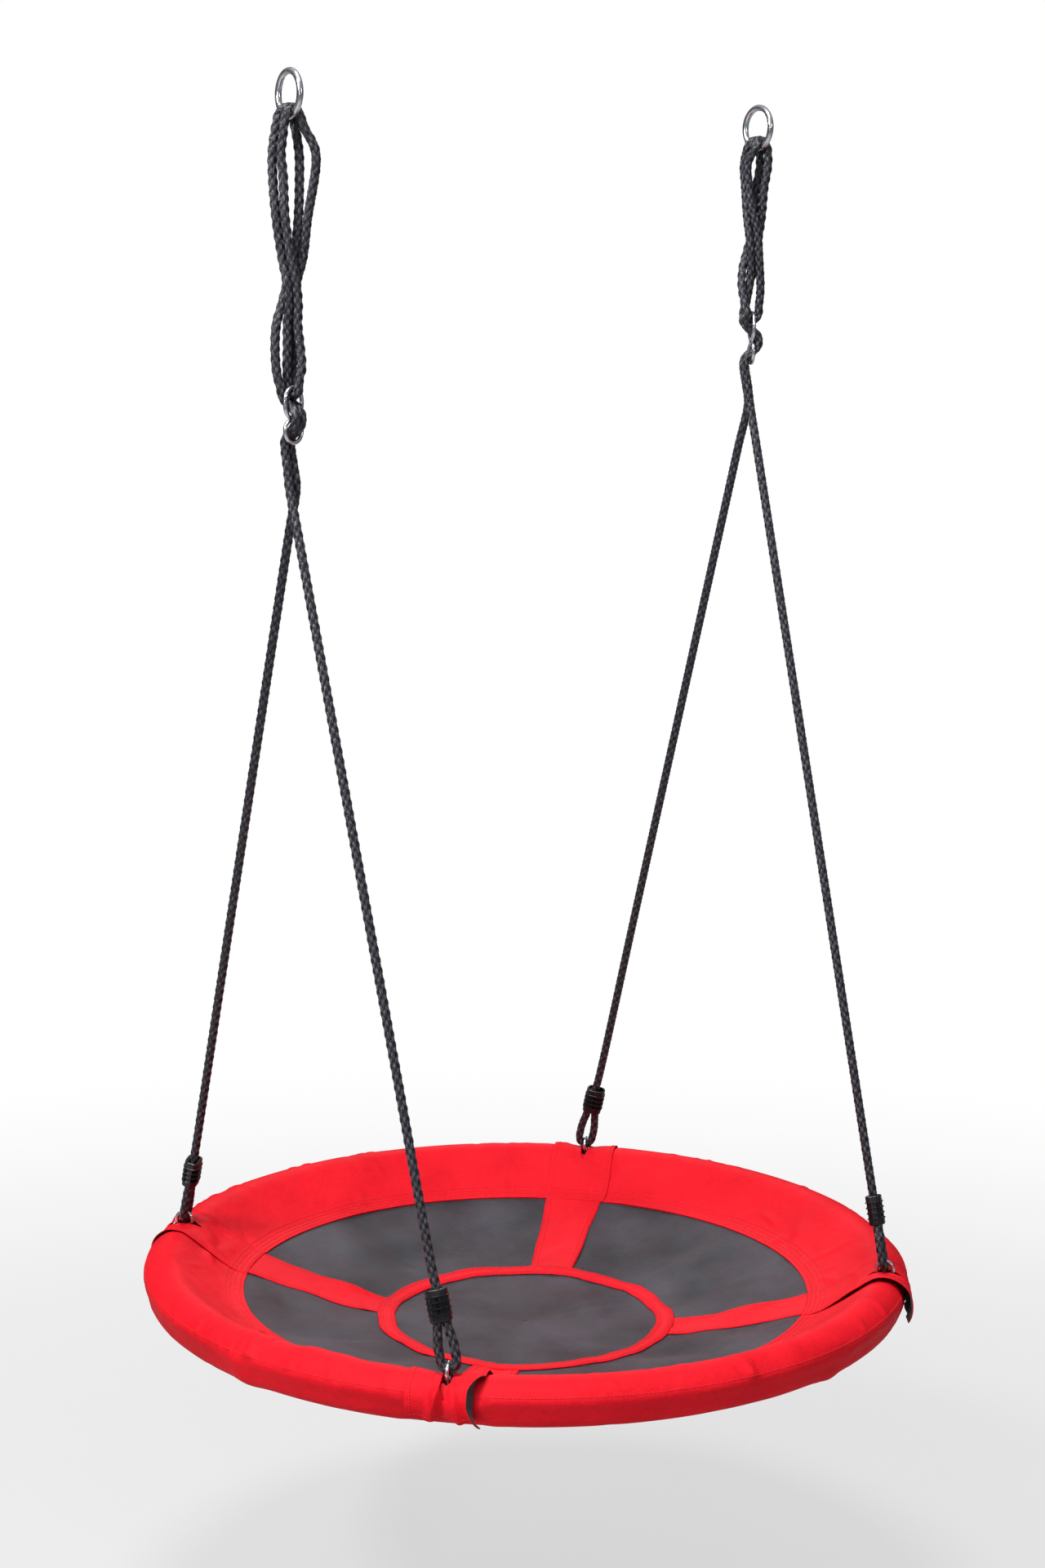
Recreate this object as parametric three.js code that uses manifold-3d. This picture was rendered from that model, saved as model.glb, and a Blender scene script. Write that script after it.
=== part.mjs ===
// Saucer nest swing: a padded hoop with a mesh seat, hung by two doubled ropes from two steel rings.
// Millimetres, +Z up. Origin under the middle of the nest, level with the lowest point of the mesh.
// X runs from the left hanging ring to the right one, so the nest swings along Y.
import * as THREE from "three";
import { mergeVertices } from "three/addons/utils/BufferGeometryUtils.js";
import Module from "manifold-3d";

const wasm = await Module();
wasm.setup();

// ---- driving dimensions ----
const RIM_Z = 78; // height of the steel hoop's centre line
const RIM_R = 470; // radius of the steel hoop's centre line
const TUBE_R = 13; // hoop tube, outside
const BORE_R = 11.2; // hoop tube, inside
const SPIGOT_R = 10.7; // swaged end that enters the next quarter
const FOAM_R = 25; // foam sleeve, outside
const COVER_R = 28.6; // fabric cover, outside
const CLOTH = 1.3; // thickness of the cover's fabric
const SEAM_R = 371; // inner edge of the cover, where the mesh is sewn in
const SEAM_Z = RIM_Z - 25; // height of that seam
const MESH = 2; // thickness of the mesh panel with its waves
const CLEAR = 0.4; // air between pieces that touch on the real swing
const EYE_Z = RIM_Z + 31; // height of an eye bolt's ring centre
const EYE_R = 10.6; // eye ring centre line
const EYE_WIRE = 2.5;
const BOLT_R = 3;
const BOLT_FIT = 0.35; // air round a bolt inside its washer and nut
const BOLT_DROP = 21; // the bolt's end below the hoop's centre line
const COLLAR = { r: 5.5, h: 3.1 }; // pressed collar that sits on the tube
const WASHER = { r: 7, h: 1.4 };
const NUT = { r: 5.6, h: 5 };
const RING_X = 350; // hanging rings, left and right of the middle
const RING_Z = 1563; // centre of the hanging rings
const RING_R = 26; // hanging ring centre line
const RING_WIRE = 4;
const ROPE_R = 5; // braided rope, 10 mm
const TURN_R = RING_WIRE + ROPE_R + 0.6; // rope centre line round the ring's wire
const TURN_TILT = (18.5 * Math.PI) / 180; // the two turns lie side by side on the ring
const TURN_END = (58 * Math.PI) / 180; // where a turn on the ring ends
const STRAND_START = (88 * Math.PI) / 180; // where the hanging strands take over
const LOOP_DROP = 8.9; // eye wire centre to the rope's centre line under it
const CLIP_LOW = 56; // clip's lower face above the bottom of the rope loop
const CLIP_H = 38;
const FLAP_W = 90; // hook-and-loop flap over each eye bolt
const FLAP_LIFT = 2.3; // outer face of the flap above the cover
const FLAP_CLOTH = 1.4;
const SLIT = { inward: 26, outward: 22, width: 22 }; // opening in a flap round its eye
const TAPE = { start: 12, end: 92, width: 60, thick: 1.6 }; // hook-and-loop strip, from the seam outward
const BINDING_CLOTH = 1.6;
const STRAP_CLOTH = 1.4;
const QUARTER_JOINT = 2.5; // degrees before an eye bolt where two hoop quarters meet
const JOINT_GAP = 0.1; // degrees
const BAND_R = 195; // outer edge of the binding round the seat's centre
const BAND_W = 24;
const EYES = {
  front: { angle: 225, side: "left" },
  left: { angle: 135, side: "left" },
  right: { angle: 315, side: "right" },
  back: { angle: 45, side: "right" },
};
// Each side: ring position, the adjuster's waist height and turn, and the way the doubled rope faces.
const SIDES = {
  left: { x: -RING_X, waist: 1187, turn: 20, face: 29.7 },
  right: { x: RING_X, waist: 1287.5, turn: 63, face: 38.5 },
};
const COVER_SEGMENTS = 48;
const FRAME_SEGMENTS = 32;
const rad = (degrees) => (degrees * Math.PI) / 180;

const RED = 0xe8202c;
const steel = { color: 0xc8ccd2, roughness: 0.25, metalness: 1 };
const bareTube = { color: 0x8e9298, roughness: 0.45, metalness: 1 };
const redCloth = { color: RED, roughness: 0.85, metalness: 0 };
const blackRope = { color: 0x1b1b1e, roughness: 0.6, metalness: 0 };
const blackPlastic = { color: 0x17171a, roughness: 0.45, metalness: 0 };
const blackTape = { color: 0x141416, roughness: 0.95, metalness: 0 };
const greyFoam = { color: 0x5a5a5e, roughness: 1, metalness: 0 };
const greyMesh = { color: 0x4c4c52, roughness: 0.7, metalness: 0 };

// ---- solids ----
function toSolid(geometry) {
  const bare = geometry.index ? geometry.toNonIndexed() : geometry.clone();
  bare.deleteAttribute("normal");
  bare.deleteAttribute("uv");
  const merged = mergeVertices(bare, 1e-3);
  const triVerts = new Uint32Array(merged.index.array);
  const vertProperties = merged.attributes.position.array;
  const solid = new wasm.Manifold(new wasm.Mesh({ numProp: 3, vertProperties, triVerts }));
  if (solid.volume() > 0) return solid;
  for (let i = 0; i < triVerts.length; i += 3) {
    [triVerts[i + 1], triVerts[i + 2]] = [triVerts[i + 2], triVerts[i + 1]];
  }
  return new wasm.Manifold(new wasm.Mesh({ numProp: 3, vertProperties, triVerts }));
}

function toGeometry(solid) {
  const mesh = solid.getMesh();
  const geometry = new THREE.BufferGeometry();
  geometry.setAttribute("position", new THREE.BufferAttribute(mesh.vertProperties, 3));
  geometry.setIndex(new THREE.BufferAttribute(mesh.triVerts, 1));
  return geometry;
}

// A closed profile of [r, z] points turned once about the vertical axis.
function revolve(profile, segments) {
  const points = profile.map(([r, z]) => new THREE.Vector2(r, z));
  points.push(points[0].clone());
  return toSolid(new THREE.LatheGeometry(points, segments).rotateX(Math.PI / 2));
}

// A flat outline of [x, y] points raised from z0 to z1.
function prism(outline, z0, z1) {
  const shape = new THREE.Shape(outline.map(([x, y]) => new THREE.Vector2(x, y)));
  const geometry = new THREE.ExtrudeGeometry(shape, { depth: z1 - z0, bevelEnabled: false, steps: 1 });
  return toSolid(geometry.translate(0, 0, z0));
}

// An upright block r0..r1 along the radius at an angle, and width across it.
function radialBlock(angle, r0, r1, width, z0, z1) {
  const c = Math.cos(rad(angle));
  const s = Math.sin(rad(angle));
  const corner = (r, t) => [r * c - t * s, r * s + t * c];
  const half = width / 2;
  return prism([corner(r0, -half), corner(r1, -half), corner(r1, half), corner(r0, half)], z0, z1);
}

// An upright wedge between two angles, wider than the nest.
function wedge(from, to) {
  const far = 2 * RIM_R;
  const at = (angle) => [far * Math.cos(rad(angle)), far * Math.sin(rad(angle))];
  return prism([[0, 0], at(from), at((from + to) / 2), at(to)], -far, far);
}

function circleProfile(radius, sides, centreR = RIM_R, centreZ = RIM_Z) {
  const points = [];
  for (let i = 0; i < sides; i++) {
    const a = (2 * Math.PI * (i + 0.5)) / sides;
    points.push([centreR + radius * Math.cos(a), centreZ + radius * Math.sin(a)]);
  }
  return points;
}

// A curve walked evenly from control point to control point, so that tight bends get short steps.
function walked(points, closed = false) {
  const curve = new THREE.CatmullRomCurve3(points, closed, "centripetal");
  curve.getUtoTmapping = (u) => u;
  if (closed) {
    const step = 1e-4;
    curve.getTangent = (t) => {
      const [ahead, behind] = [(t + step) % 1, (t + 1 - step) % 1];
      return curve.getPoint(ahead).sub(curve.getPoint(behind)).normalize();
    };
  }
  return curve;
}

function disc(radius, sides) {
  const shape = new THREE.Shape();
  for (let i = 0; i < sides; i++) {
    const a = (2 * Math.PI * (i + 0.5)) / sides;
    if (i === 0) shape.moveTo(radius * Math.cos(a), radius * Math.sin(a));
    else shape.lineTo(radius * Math.cos(a), radius * Math.sin(a));
  }
  return shape;
}

// A round bar along a curve; a closed curve keeps no end faces.
function bar(points, radius, sides, steps, closed = false) {
  const path = walked(points, closed);
  const geometry = new THREE.ExtrudeGeometry(disc(radius, sides), { extrudePath: path, steps });
  if (!closed) return toSolid(geometry);
  const [start, count] = [geometry.groups[1].start, geometry.groups[1].count];
  const side = geometry.attributes.position.array.slice(3 * start, 3 * (start + count));
  const open = new THREE.BufferGeometry();
  open.setAttribute("position", new THREE.BufferAttribute(side, 3));
  return toSolid(open);
}

// ---- the padded hoop ----
// One tube quarter: it ends just past its eye bolt, and its swaged spigot runs on into the next.
function tubeQuarter(eyeAngle) {
  const start = eyeAngle - QUARTER_JOINT;
  const end = start + 90 - JOINT_GAP;
  const hollow = (outer, inner) =>
    revolve(circleProfile(outer, 8), FRAME_SEGMENTS).subtract(
      revolve(circleProfile(inner, 8), FRAME_SEGMENTS),
    );
  const tube = hollow(TUBE_R, BORE_R).intersect(wedge(start, end));
  const shoulder = hollow(TUBE_R - 0.2, SPIGOT_R - 2).intersect(wedge(end - 0.8, end));
  const spigot = hollow(SPIGOT_R, SPIGOT_R - 2).intersect(wedge(end - 0.4, end + 2 * QUARTER_JOINT));
  let quarter = tube.add(shoulder).add(spigot);
  for (const angle of [eyeAngle, eyeAngle + 90]) quarter = quarter.subtract(boltBore(angle));
  return toGeometry(quarter);
}

function eyePoint(angle, z) {
  return new THREE.Vector3(RIM_R * Math.cos(rad(angle)), RIM_R * Math.sin(rad(angle)), z);
}

function uprightCylinder(angle, radius, z0, z1, sides) {
  const at = eyePoint(angle, (z0 + z1) / 2);
  const geometry = new THREE.CylinderGeometry(radius, radius, z1 - z0, sides).rotateX(Math.PI / 2);
  return toSolid(geometry.translate(at.x, at.y, at.z));
}

function boltBore(angle) {
  return uprightCylinder(angle, BOLT_R + CLEAR, RIM_Z - 30, RIM_Z + 30, 10);
}

// Foam sleeve between two eye bolts, stopped short of the bolts.
function foamSleeve(eyeAngle) {
  const gap = 2; // degrees of bare tube each side of a bolt
  const sleeve = revolve(circleProfile(FOAM_R, 8), FRAME_SEGMENTS).subtract(
    revolve(circleProfile(TUBE_R + 0.7, 8), FRAME_SEGMENTS),
  );
  return toGeometry(sleeve.intersect(wedge(eyeAngle + gap, eyeAngle + 90 - gap)));
}

// The outline round the tube and in to the seam, kept a distance off the cover's outer face.
// It runs from the upper lip over the outside to the lower lip.
function rimOutline(offset, lipR, turns) {
  const radius = COVER_R + offset;
  const lipTop = SEAM_Z + MESH / 2 + CLEAR + CLOTH + offset;
  const lipLow = SEAM_Z - MESH / 2 - CLEAR - CLOTH - offset;
  const points = [[lipR, lipTop], [lipR + 16, lipTop + 2.5]];
  for (let i = 0; i <= turns; i++) {
    const a = rad(122 - (122 + 92) * (i / turns));
    points.push([RIM_R + radius * Math.cos(a), RIM_Z + radius * Math.sin(a)]);
  }
  points.push([lipR + 16, lipLow - 0.2], [lipR, lipLow]);
  return points;
}

// Fabric tube: a C in section whose lips hold the mesh, with a slot over each eye bolt.
function rimCover() {
  const outer = rimOutline(0, SEAM_R, 8);
  const inner = rimOutline(-CLOTH, SEAM_R, 6).reverse();
  let cover = revolve([...outer, ...inner], COVER_SEGMENTS);
  for (const { angle } of Object.values(EYES)) {
    cover = cover.subtract(radialBlock(angle, RIM_R - 18, RIM_R + 18, 22, RIM_Z + 10, RIM_Z + 60));
  }
  return toGeometry(cover);
}

// Flap sewn along the inner edge, laid over the rim and fastened underneath, slit for the eye.
function flap(angle) {
  const outer = rimOutline(FLAP_LIFT, SEAM_R, 8);
  const inner = rimOutline(FLAP_LIFT - FLAP_CLOTH, SEAM_R, 8);
  outer.length -= 2;
  inner.length -= 2;
  const shell = revolve([...outer, ...inner.reverse()], COVER_SEGMENTS);
  const slit = radialBlock(
    angle, RIM_R - SLIT.inward, RIM_R + SLIT.outward, SLIT.width, RIM_Z + TUBE_R, EYE_Z + 2 * EYE_R,
  );
  return toGeometry(shell.intersect(radialBlock(angle, 300, 600, FLAP_W, -50, 200)).subtract(slit));
}

// Hook-and-loop strip on the underside, between the flap's end and the seam.
function tapeStrip(angle) {
  const lipLow = SEAM_Z - MESH / 2 - CLEAR - CLOTH;
  const profile = [[SEAM_R + TAPE.start, lipLow - 0.9], [SEAM_R + TAPE.end, lipLow - 1.4]];
  const below = profile.map(([r, z]) => [r, z - TAPE.thick]).reverse();
  const shell = revolve([...profile, ...below], COVER_SEGMENTS);
  return toGeometry(shell.intersect(radialBlock(angle, 300, 600, TAPE.width, -50, 200)));
}

// ---- eye bolts ----
function eyeBolt(angle) {
  const eye = new THREE.TorusGeometry(EYE_R, EYE_WIRE, 6, 16).rotateX(Math.PI / 2);
  eye.rotateZ(rad(angle));
  const at = eyePoint(angle, EYE_Z);
  eye.translate(at.x, at.y, at.z);
  const top = EYE_Z - EYE_R;
  const shank = uprightCylinder(angle, BOLT_R, RIM_Z - BOLT_DROP, top, 8);
  const seat = RIM_Z + TUBE_R + CLEAR;
  const collar = uprightCylinder(angle, COLLAR.r, seat, seat + COLLAR.h, 10);
  return toGeometry(toSolid(eye).add(shank).add(collar));
}

function ringPlate(angle, radius, sides, z0, z1) {
  const hole = uprightCylinder(angle, BOLT_R + BOLT_FIT, z0 - 5, z1 + 5, 8);
  return toGeometry(uprightCylinder(angle, radius, z0, z1, sides).subtract(hole));
}

// ---- the seat ----
const DISH = [[0, 1], [95, 2.4], [BAND_R, 9], [285, 28], [360, 50], [SEAM_R, SEAM_Z], [388, SEAM_Z]];

function dishHeight(r) {
  const i = DISH.findIndex(([end]) => end >= r);
  if (i <= 0) return DISH[0][1];
  const [[r0, z0], [r1, z1]] = [DISH[i - 1], DISH[i]];
  return z0 + ((z1 - z0) * (r - r0)) / (r1 - r0);
}

function meshPanel() {
  const top = DISH.map(([r, z]) => [r, z + MESH / 2]);
  const low = DISH.map(([r, z]) => [r, z - MESH / 2]).reverse();
  return toGeometry(revolve([...top, ...low], FRAME_SEGMENTS));
}

// A layer lying on the mesh between two radii.
function onMesh(r0, r1, lift, thickness) {
  const stops = [r0, ...DISH.map(([r]) => r).filter((r) => r > r0 && r < r1), r1];
  const low = stops.map((r) => [r, dishHeight(r) + MESH / 2 + lift]);
  const top = low.map(([r, z]) => [r, z + thickness]).reverse();
  return revolve([...low, ...top], FRAME_SEGMENTS);
}

const centreBinding = () => toGeometry(onMesh(BAND_R - BAND_W, BAND_R, CLEAR, BINDING_CLOTH));

// Strap from the rim to the binding, wider at the rim.
function radialStrap(angle) {
  const c = Math.cos(rad(angle));
  const s = Math.sin(rad(angle));
  const corner = (r, t) => [r * c - t * s, r * s + t * c];
  const plan = [corner(150, -27), corner(430, -43), corner(430, 43), corner(150, 27)];
  const layer = onMesh(BAND_R + 0.5, SEAM_R - 0.8, CLEAR, STRAP_CLOTH);
  return toGeometry(layer.intersect(prism(plan, -50, 200)));
}

// ---- ropes ----
const UP = new THREE.Vector3(0, 0, 1);
const PIVOT_Z = RING_Z - RING_R;
const EYE_WIRE_Z = EYE_Z + EYE_R;
const EYE_X = RIM_R * Math.cos(rad(45));

// The line from a hanging ring straight down to the middle between its two eyes.
function plumbX(side, z) {
  const lean = Math.sign(SIDES[side].x) * (RING_X - EYE_X);
  return SIDES[side].x - (lean * (PIVOT_Z - z)) / (PIVOT_Z - EYE_WIRE_Z);
}

// Points of the doubled rope, [across, towards the front, height], for a given facing direction.
function inLoop(side, points) {
  const a = rad(SIDES[side].face);
  return points.map(([s, t, z]) => {
    const x = plumbX(side, z) + s * Math.cos(a) - t * Math.sin(a);
    return new THREE.Vector3(x, -s * Math.sin(a) - t * Math.cos(a), z);
  });
}

// Points at the adjuster, [along its width, out of its plane, height above its waist].
function inAdjuster(side, points) {
  const b = rad(SIDES[side].turn);
  const waist = SIDES[side].waist;
  return points.map(([w, n, h]) => {
    const x = plumbX(side, waist) + w * Math.cos(b) + n * Math.sin(b);
    return new THREE.Vector3(x, w * Math.sin(b) - n * Math.cos(b), waist + h);
  });
}

// A point on a rope turn round the ring's wire: row 1 is the far turn, -1 the near one.
function onTurn(side, row, angle) {
  const rho = RING_R - TURN_R * Math.cos(angle);
  const tilt = row * TURN_TILT;
  const x = SIDES[side].x + TURN_R * Math.sin(angle);
  return new THREE.Vector3(x, rho * Math.sin(tilt), RING_Z - rho * Math.cos(tilt));
}

function ropeTurn(side, row) {
  const points = [];
  for (let i = -4; i <= 4; i++) points.push(onTurn(side, row, (TURN_END * i) / 4));
  return toGeometry(bar(points, ROPE_R, 8, 8));
}

// Hand-laid routes of the four strands between ring and adjuster, top to bottom.
const STRANDS = {
  left: {
    L1: [[-18, -2, 1512], [-20.2, -1, 1494], [-20.2, 0, 1470], [-17, 2.5, 1422], [-10.5, 2, 1375],
      [-5, 5.8, 1345], [-3.5, 4, 1320], [-5.5, 0, 1298], [-6, -1.5, 1270], [-6.8, -3.8, 1245]],
    L2: [[-8, 10, 1512], [-10, 8, 1494], [-8, 7.2, 1470], [-6.5, 7.5, 1422], [-0.5, 7, 1375],
      [5.6, 5.8, 1345], [7.4, 4, 1320], [6.6, 2.5, 1298], [9.2, 3, 1270], [10.5, 5, 1247]],
    R1: [[9, -11, 1512], [11, -9.5, 1494], [11, -8.5, 1470], [9, -7, 1422], [3, -7.3, 1375],
      [-5.2, -6.4, 1345], [-12, -4.6, 1320], [-18.4, -1, 1298], [-20.4, 1.5, 1270], [-18.6, 3, 1240]],
    R2: [[18.5, 1, 1522], [25.5, 0.4, 1510], [29.8, -0.3, 1499], [30.8, -1, 1487], [29, -2, 1470],
      [24.6, -3.6, 1446], [20, -5, 1422], [13.6, -6.6, 1375], [5.6, -6.4, 1345], [4.5, -8.4, 1320],
      [2, -11.4, 1298], [1, -12.6, 1270], [-0.4, -13.8, 1240]],
  },
  right: {
    L1: [[-17, -4, 1517], [-14.5, -3, 1487], [-12, 0, 1460], [-9.8, 3, 1442], [-6, 5.5, 1418],
      [-4.4, 4, 1400], [-3.6, 1.5, 1382], [-5, 0.5, 1360], [-7.4, 1, 1344]],
    L2: [[-12, 9, 1517], [-9.5, 8, 1487], [-5.6, 8.8, 1460], [0.6, 7.8, 1442], [4.8, 6, 1418],
      [6.4, 4.5, 1400], [8, 2, 1382], [9.6, 0, 1360], [9.4, -1.2, 1346]],
    R1: [[4, -11.5, 1517], [0, -10, 1487], [-1.6, -9.7, 1460], [-3.2, -7.6, 1442], [-6.5, -6.5, 1418],
      [-10.8, -4.6, 1400], [-14.6, -0.5, 1382], [-15, 6, 1360], [-11.6, 10.8, 1342]],
    R2: [[14.5, 0, 1517], [10.5, -2.5, 1487], [9, -5.4, 1460], [7.6, -6.4, 1442], [4.4, -6.8, 1418],
      [3, -8.4, 1400], [0, -9.8, 1382], [-5.4, -10.6, 1360], [-9.4, -10, 1342]],
  },
};
// The path of a leg through the adjuster: in over the top bar's back, out over the waist, back below.
const THROUGH = [[12, -9.2, 36], [9.4, -9.8, 28], [6.3, -6.5, 20.5], [5.3, 0, 14.5], [5.3, 7.3, 7],
  [5.3, 8.8, -0.5], [5.3, 6.6, -7.5], [5.3, 0, -14], [5.3, -6.4, -20.5], [5.3, -9, -28],
  [5.4, -8.2, -38], [5.8, -4.5, -58]];
const LEG_TOP = [6.2, -1.5, -80];
// The bight hooked under the adjuster's top bar, front to back.
const BIGHT = [[0, 8.8, 46], [0, 8.9, 38.5], [0, 6.3, 31.3], [0, 0, 28.3], [0, -6.3, 31.3],
  [0, -8.9, 38.5], [0, -8.7, 46]];
// The loop through the eye, [across, along the leg from the loop's bottom], tail first.
const EYE_LOOP = [[-5.4, 74], [-5.4, 60], [-6.2, 50], [-8.8, 34], [-9.6, 20], [-7.8, 5.8], [0, 0],
  [7.8, 5.8], [9.6, 20], [8.8, 34], [6.2, 50], [5.4, 60], [5.4, 74], [3.8, 84], [1, 96], [0, 112]];

// Frame of one leg: the eye wire it hangs on, the way up the rope and the way across the loop.
function legFrame(eye) {
  const { angle, side } = EYES[eye];
  const sign = eye === "front" || eye === "right" ? -1 : 1;
  const top = inAdjuster(side, [[sign * LEG_TOP[0], LEG_TOP[1], LEG_TOP[2]]])[0];
  const centre = eyePoint(angle, EYE_Z);
  const radial = new THREE.Vector3(Math.cos(rad(angle)), Math.sin(rad(angle)), 0);
  const tangent = new THREE.Vector3().crossVectors(UP, radial);
  const lean = top.clone().sub(centre).normalize();
  const inPlane = lean.clone().addScaledVector(tangent, -lean.dot(tangent)).normalize();
  const wire = centre.clone().addScaledVector(inPlane, EYE_R);
  const up = top.clone().sub(wire).normalize();
  const across = tangent.clone().addScaledVector(up, -tangent.dot(up)).normalize();
  const bottom = wire.clone().addScaledVector(up, -LOOP_DROP);
  return { sign, side, top, up, across, bottom };
}

// One run of rope: ring, strand, adjuster, leg, clip, eye loop and back into the clip.
function legRun(eye) {
  const { sign, side, top, up, across, bottom } = legFrame(eye);
  const strand = sign < 0 ? "R1" : "R2";
  const row = sign < 0 ? 1 : -1;
  const mirrored = [...THROUGH, LEG_TOP].map(([w, n, h]) => [sign * w, n, h]);
  const loop = EYE_LOOP.map(([s, h]) =>
    bottom.clone().addScaledVector(across, s).addScaledVector(up, h),
  ).reverse();
  const straight = [0.06, 0.25, 0.5, 0.75].map((share) => top.clone().lerp(loop[0], share));
  const points = [
    onTurn(side, row, STRAND_START),
    ...inLoop(side, STRANDS[side][strand]),
    ...inAdjuster(side, mirrored),
    ...straight,
    ...loop,
  ];
  return toGeometry(bar(points, ROPE_R, 8, Math.round(1.35 * (points.length - 1))));
}

// The bight: down from the ring, under the adjuster's top bar and back up.
function ropeBight(side) {
  const points = [
    onTurn(side, -1, -STRAND_START),
    ...inLoop(side, STRANDS[side].L2),
    ...inAdjuster(side, BIGHT),
    ...inLoop(side, STRANDS[side].L1).reverse(),
    onTurn(side, 1, -STRAND_START),
  ];
  return toGeometry(bar(points, ROPE_R, 8, Math.round(1.35 * (points.length - 1))));
}

// Half of a rope clip: a C in section, run along the leg.
function clipHalf(eye, sign) {
  const { up, across, bottom } = legFrame(eye);
  const [halfW, halfD] = [13, 10];
  const outline = [[-halfW, 0.15], [-halfW, halfD - 4], [-halfW + 4, halfD], [halfW - 4, halfD],
    [halfW, halfD - 4], [halfW, 0.15], [11.3, 0.15], [10.7, 3.9], [7, 5.9], [-7, 5.9],
    [-10.7, 3.9], [-11.3, 0.15]];
  const shape = new THREE.Shape(outline.map(([s, n]) => new THREE.Vector2(s, sign * n)));
  const half = new THREE.ExtrudeGeometry(shape, { depth: CLIP_H, bevelEnabled: false, steps: 1 });
  const normal = new THREE.Vector3().crossVectors(up, across);
  const frame = new THREE.Matrix4().makeBasis(across, normal, up);
  frame.setPosition(bottom.clone().addScaledVector(up, CLIP_LOW));
  return toGeometry(toSolid(half.applyMatrix4(frame)));
}

// ---- steel fittings ----
function hangingRing(side) {
  const ring = new THREE.TorusGeometry(RING_R, RING_WIRE, 8, 24).rotateY(Math.PI / 2);
  return toGeometry(toSolid(ring.translate(SIDES[side].x, 0, RING_Z)));
}

// Figure-of-eight adjuster: one bent wire, pinched and welded at the waist.
function adjuster(side) {
  const half = [[3.1, 0], [9.2, 4.2], [13.6, 10], [15, 17.5], [15, 22.5]];
  for (const a of [30, 60]) half.push([15 * Math.cos(rad(a)), 22.5 + 15 * Math.sin(rad(a))]);
  const low = [[0, -28]];
  for (const a of [60, 30, 0]) low.push([15 * Math.cos(rad(a)), -13 - 15 * Math.sin(rad(a))]);
  low.push([13.8, -7.4], [9.4, -3]);
  const right = [...low, ...half];
  const left = right.slice(1).reverse().map(([w, h]) => [-w, h]);
  const outline = [...right, [0, 37.5], ...left];
  const wire = bar(inAdjuster(side, outline.map(([w, h]) => [w, 0, h])), 2.5, 6, 40, true);
  const bead = new THREE.SphereGeometry(3.4, 8, 5);
  const at = inAdjuster(side, [[0, 0, 0]])[0];
  return toGeometry(wire.add(toSolid(bead.translate(at.x, at.y, at.z))));
}

// ---- assembly ----
const swing = new THREE.Group();
function add(name, geometry, finish) {
  const mesh = new THREE.Mesh(geometry, new THREE.MeshStandardMaterial(finish));
  mesh.name = name;
  swing.add(mesh);
}

for (const side of ["left", "right"]) {
  add(`hanging_ring_${side}`, hangingRing(side), steel);
  add(`height_adjuster_${side}`, adjuster(side), steel);
  add(`rope_turn_far_${side}`, ropeTurn(side, 1), blackRope);
  add(`rope_turn_near_${side}`, ropeTurn(side, -1), blackRope);
  add(`rope_bight_${side}`, ropeBight(side), blackRope);
}
for (const [eye, { angle }] of Object.entries(EYES)) {
  add(`rope_leg_${eye}`, legRun(eye), blackRope);
  add(`rope_clip_outer_${eye}`, clipHalf(eye, 1), blackPlastic);
  add(`rope_clip_inner_${eye}`, clipHalf(eye, -1), blackPlastic);
  add(`frame_tube_${eye}`, tubeQuarter(angle), bareTube);
  add(`foam_sleeve_${eye}`, foamSleeve(angle), greyFoam);
  add(`eye_bolt_${eye}`, eyeBolt(angle), steel);
  const washerTop = RIM_Z - TUBE_R - CLEAR;
  const nutTop = washerTop - WASHER.h - CLEAR;
  add(`eye_washer_${eye}`, ringPlate(angle, WASHER.r, 10, washerTop - WASHER.h, washerTop), steel);
  add(`eye_nut_${eye}`, ringPlate(angle, NUT.r, 6, nutTop - NUT.h, nutTop), steel);
  add(`rim_flap_${eye}`, flap(angle), redCloth);
  add(`flap_tape_${eye}`, tapeStrip(angle), blackTape);
  add(`seat_strap_${eye}`, radialStrap(angle), redCloth);
}
add("rim_cover", rimCover(), redCloth);
add("mesh_panel", meshPanel(), greyMesh);
add("centre_binding", centreBinding(), redCloth);

export default swing;
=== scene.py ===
"""Looks of the saucer nest swing: braided ropes, clips, steel fittings, padded rim, flaps and seat."""
import math

import bmesh
import bpy
import numpy as np
from mathutils import Matrix, Vector


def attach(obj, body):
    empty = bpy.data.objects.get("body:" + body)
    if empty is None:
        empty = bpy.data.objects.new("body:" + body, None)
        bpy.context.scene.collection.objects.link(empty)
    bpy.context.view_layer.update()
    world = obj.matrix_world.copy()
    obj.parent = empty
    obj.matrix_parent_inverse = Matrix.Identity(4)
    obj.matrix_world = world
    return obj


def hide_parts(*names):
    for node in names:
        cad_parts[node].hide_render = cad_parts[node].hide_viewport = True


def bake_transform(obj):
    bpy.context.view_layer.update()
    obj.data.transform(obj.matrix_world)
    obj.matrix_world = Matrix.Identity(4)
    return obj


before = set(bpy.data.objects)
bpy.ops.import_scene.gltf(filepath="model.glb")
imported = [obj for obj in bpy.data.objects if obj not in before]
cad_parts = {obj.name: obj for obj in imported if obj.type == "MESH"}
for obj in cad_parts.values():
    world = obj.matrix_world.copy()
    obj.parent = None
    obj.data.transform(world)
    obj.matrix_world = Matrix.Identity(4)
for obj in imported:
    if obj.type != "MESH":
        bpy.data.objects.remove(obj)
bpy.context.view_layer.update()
MM = 0.001
UP = np.array([0.0, 0.0, 1.0])

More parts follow.
